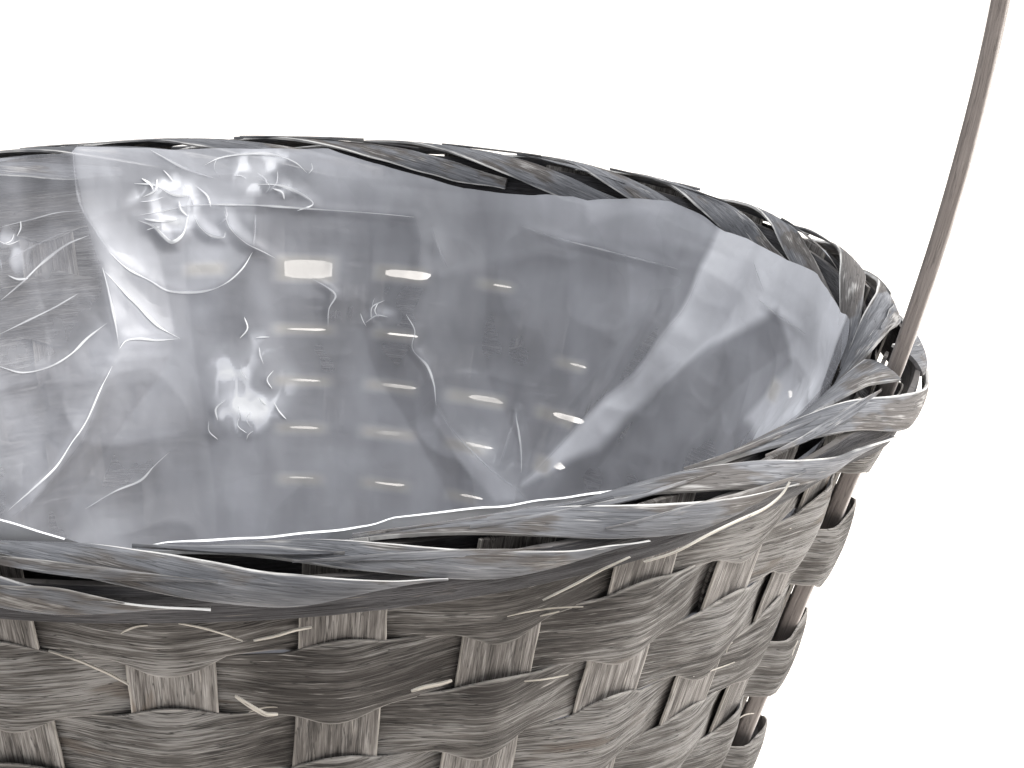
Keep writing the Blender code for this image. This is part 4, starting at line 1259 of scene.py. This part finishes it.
def make_clear_film(name):
    """Thin clear film: a soft veil where flat, milkier where it lies double, with painted
    highlights on its creases, glints and lips and painted shade over the slits.
    """
    material, shader, grain, place = new_material(name)
    parts = add_node(material.node_tree, "ShaderNodeSeparateXYZ", {}, {0: grain})
    painted_highlight, milk_and_painted_light, slit_shade_density = (Value(parts, number) for number in range(3))
    veil = place.noise((26.0, 26.0, 26.0), 3.0, 0.5)
    wisps = place.noise((62.0, 62.0, 18.0), 3.0, 0.55, 3.0)
    crinkle = place.noise((170.0, 170.0, 170.0), 2.0, 0.55, 5.0)
    fold = place.noise((75.0, 75.0, 75.0), 2.0, 0.5, 9.0)
    height = abs(crinkle - 0.5) * 0.35 + abs(fold - 0.5)
    base = veil.ranged(0.36, 0.64, -0.06, 0.12) + wisps.ranged(0.38, 0.66, -0.06, 0.09)
    # Painted highlights: the film turns opaque and white where creases, glints and lips are
    # painted bright; it is also milkier where it lies double
    alpha = ((base + 0.39) * slit_shade_density + painted_highlight).maths("ADD", milk_and_painted_light, True)
    colour = (painted_highlight + milk_and_painted_light * 0.5).ranged(0.0, 0.8).mixed((0.68, 0.69, 0.745),
                                                        (0.97, 0.975, 0.985))
    # Painted shade: over the slits the film is tinted a dim warm grey
    colour = slit_shade_density.ranged(1.0, 1.0 + SLIT_SHADE_VEIL).mixed(colour, (0.53, 0.515, 0.50))
    feed(shader, {"Alpha": alpha, "Normal": height.bumped(0.5, 0.0011),
                  "Roughness": veil.ranged(0.3, 0.7, 0.17, 0.30), "Base Color": colour,
                  "Specular IOR Level": 0.3, "Metallic": 0.0})
    return material


# The woods: dark, middle and light fibres, the brown below the wash and where it starts, the
# cut edges and how much they show, the depth of the fibres, then make_wood's own defaults
WOODS = {
    "stake_chip": ((0.040, 0.035, 0.032), (0.124, 0.113, 0.106), (0.290, 0.276, 0.265),
                   (0.135, 0.100, 0.074), 0.62, (0.50, 0.47, 0.43), 0.5, 0.0005),
    "splinter_wood": ((0.26, 0.24, 0.21), (0.42, 0.39, 0.35), (0.60, 0.57, 0.52),
                      (0.30, 0.23, 0.17), 0.66, (0.66, 0.63, 0.58), 0.9, 0.0002),
    "weaver_chip": ((0.027, 0.023, 0.021), (0.080, 0.073, 0.068), (0.206, 0.199, 0.194),
                    (0.083, 0.065, 0.053), 0.60, (0.42, 0.40, 0.38), 0.5, 0.0007,
                    0.125, 0.8, 0.13, 0.85),
    "splint_chip": ((0.070, 0.072, 0.081), (0.128, 0.131, 0.143), (0.235, 0.239, 0.255),
                    (0.066, 0.054, 0.045), 0.500, (0.60, 0.59, 0.575), 0.95, 0.00035,
                    0.24, 0.35, 0.20, 0.35, 0.45),
    # hoop_cane is far darker than the other woods: painted shade, so the hoop seen in the gaps
    # between the splints reads as the shadow there
    "hoop_cane": ((0.012, 0.011, 0.013), (0.030, 0.029, 0.033), (0.070, 0.068, 0.074),
                  (0.050, 0.035, 0.025), 0.60, (0.20, 0.18, 0.16), 0.3, 0.0004),
    "handle_bamboo": ((0.150, 0.130, 0.120), (0.225, 0.198, 0.186), (0.300, 0.272, 0.258),
                      (0.200, 0.160, 0.135), 0.66, (0.52, 0.49, 0.47), 0.9, 0.0002,
                      0.30, 0.10, 0.10, 0.4)}


# Stage

CAMERA_PLACE = (0.15975, -0.38912, 0.24897)
CAMERA_FORWARD = (-0.24593116, 0.91165614, -0.32924301)
CAMERA_UP = (-0.09607237, 0.31507622, 0.94419123)
CAMERA_LENS = 84.833

# Lights: azimuth from +X and elevation in degrees, distance, size, power and colour
LIGHTS = {"key": (15.0, 32.0, 0.9, 0.45, 13.0, (1.0, 0.985, 0.96)),
          "top": (-62.0, 74.0, 0.9, 0.35, 4.8, (0.95, 0.97, 1.0)),
          "back": (128.0, 40.0, 1.0, 0.14, 2.8, (0.97, 0.98, 1.0)),
          "fill": (-100.0, 25.0, 1.2, 0.70, 1.2, (1.0, 1.0, 1.0))}


def add_placed(name, data, side, back, place):
    """A camera or lamp in the scene, from the directions to its right and behind it."""
    side, back = unit(side), unit(back)
    thing = bpy.data.objects.new(name, data)
    bpy.context.scene.collection.objects.link(thing)
    rows = np.stack([side, np.cross(back, side), back, place], axis=1)
    thing.matrix_world = Matrix([*rows.tolist(), [0.0, 0.0, 0.0, 1.0]])
    return thing


def add_camera():
    """The camera of the photograph."""
    data = bpy.data.cameras.new("camera")
    data.lens = CAMERA_LENS
    data.sensor_width = 36.0
    data.sensor_fit = "HORIZONTAL"
    data.clip_start = 0.01
    data.clip_end = 50.0
    forward = np.array(CAMERA_FORWARD)
    bpy.context.scene.camera = add_placed("camera", data, np.cross(forward, CAMERA_UP), -forward,
                                          np.array(CAMERA_PLACE))


def add_light(name, azimuth, elevation, distance, size, power, colour):
    """A square soft light aimed at the middle of the basket."""
    data = bpy.data.lights.new(name, "AREA")
    data.shape = "SQUARE"
    data.size = size
    data.energy = power
    data.color = colour
    rise = math.radians(elevation)
    away = radial(math.radians(azimuth)) * math.cos(rise) + UPRIGHT * math.sin(rise)
    add_placed(name, data, np.cross(UPRIGHT, away), away, 0.08 * UPRIGHT + away * distance)


def add_stage():
    """Pale floor, world and soft lights."""
    bpy.ops.mesh.primitive_plane_add(size=12.0, location=(0.0, 0.0, -0.0004))
    floor = bpy.context.active_object
    floor.name = "floor"
    material = bpy.data.materials.new("floor_white")
    material.use_nodes = True
    feed(material.node_tree.nodes["Principled BSDF"],
         {"Base Color": (0.93, 0.885, 0.83, 1.0), "Roughness": 0.9,
          "Emission Color": (1.0, 0.93, 0.86, 1.0), "Emission Strength": 0.55})
    floor.data.materials.append(material)
    world = bpy.data.worlds.new("studio")
    world.use_nodes = True
    feed(world.node_tree.nodes["Background"], {"Color": (0.96, 0.98, 1.0, 1.0), "Strength": 0.38})
    bpy.context.scene.world = world
    bpy.context.scene.view_settings.view_transform = "Standard"
    for name, light in LIGHTS.items():
        add_light(name, *light)


def main():
    """Make the stage, the materials and every piece."""
    add_camera()
    add_stage()
    woods = {name: make_wood(name, *looks) for name, looks in WOODS.items()}
    odd_numbers = list(range(-3, 4))
    even_numbers = [number - 3.5 for number in range(8)]
    for letter, sides, crossings, first_seed in (("x", odd_numbers, even_numbers, 7),
                                                 ("y", even_numbers, odd_numbers, 20)):
        for number, side in enumerate(sides, 1):
            make_strip(f"strip_{letter}{number}_chip", f"base_strip_{letter}{number}", side,
                       crossings, letter == "x", first_seed + number, woods["stake_chip"])
    for row in range(1, ROW_COUNT + 1):
        make_weaver(row, woods["weaver_chip"])
    make_hoop("outer_hoop_cane", "outer_hoop", 1, 1, woods["hoop_cane"])
    make_hoop("inner_hoop_cane", "inner_hoop", -1, 2, woods["hoop_cane"])
    make_splints(woods["splint_chip"])
    make_handle(woods["handle_bamboo"])
    make_slivers(woods["splint_chip"])
    make_fibres(woods["splinter_wood"])
    make_strays(woods["splinter_wood"])
    make_film(make_clear_film("clear_film"))


main()
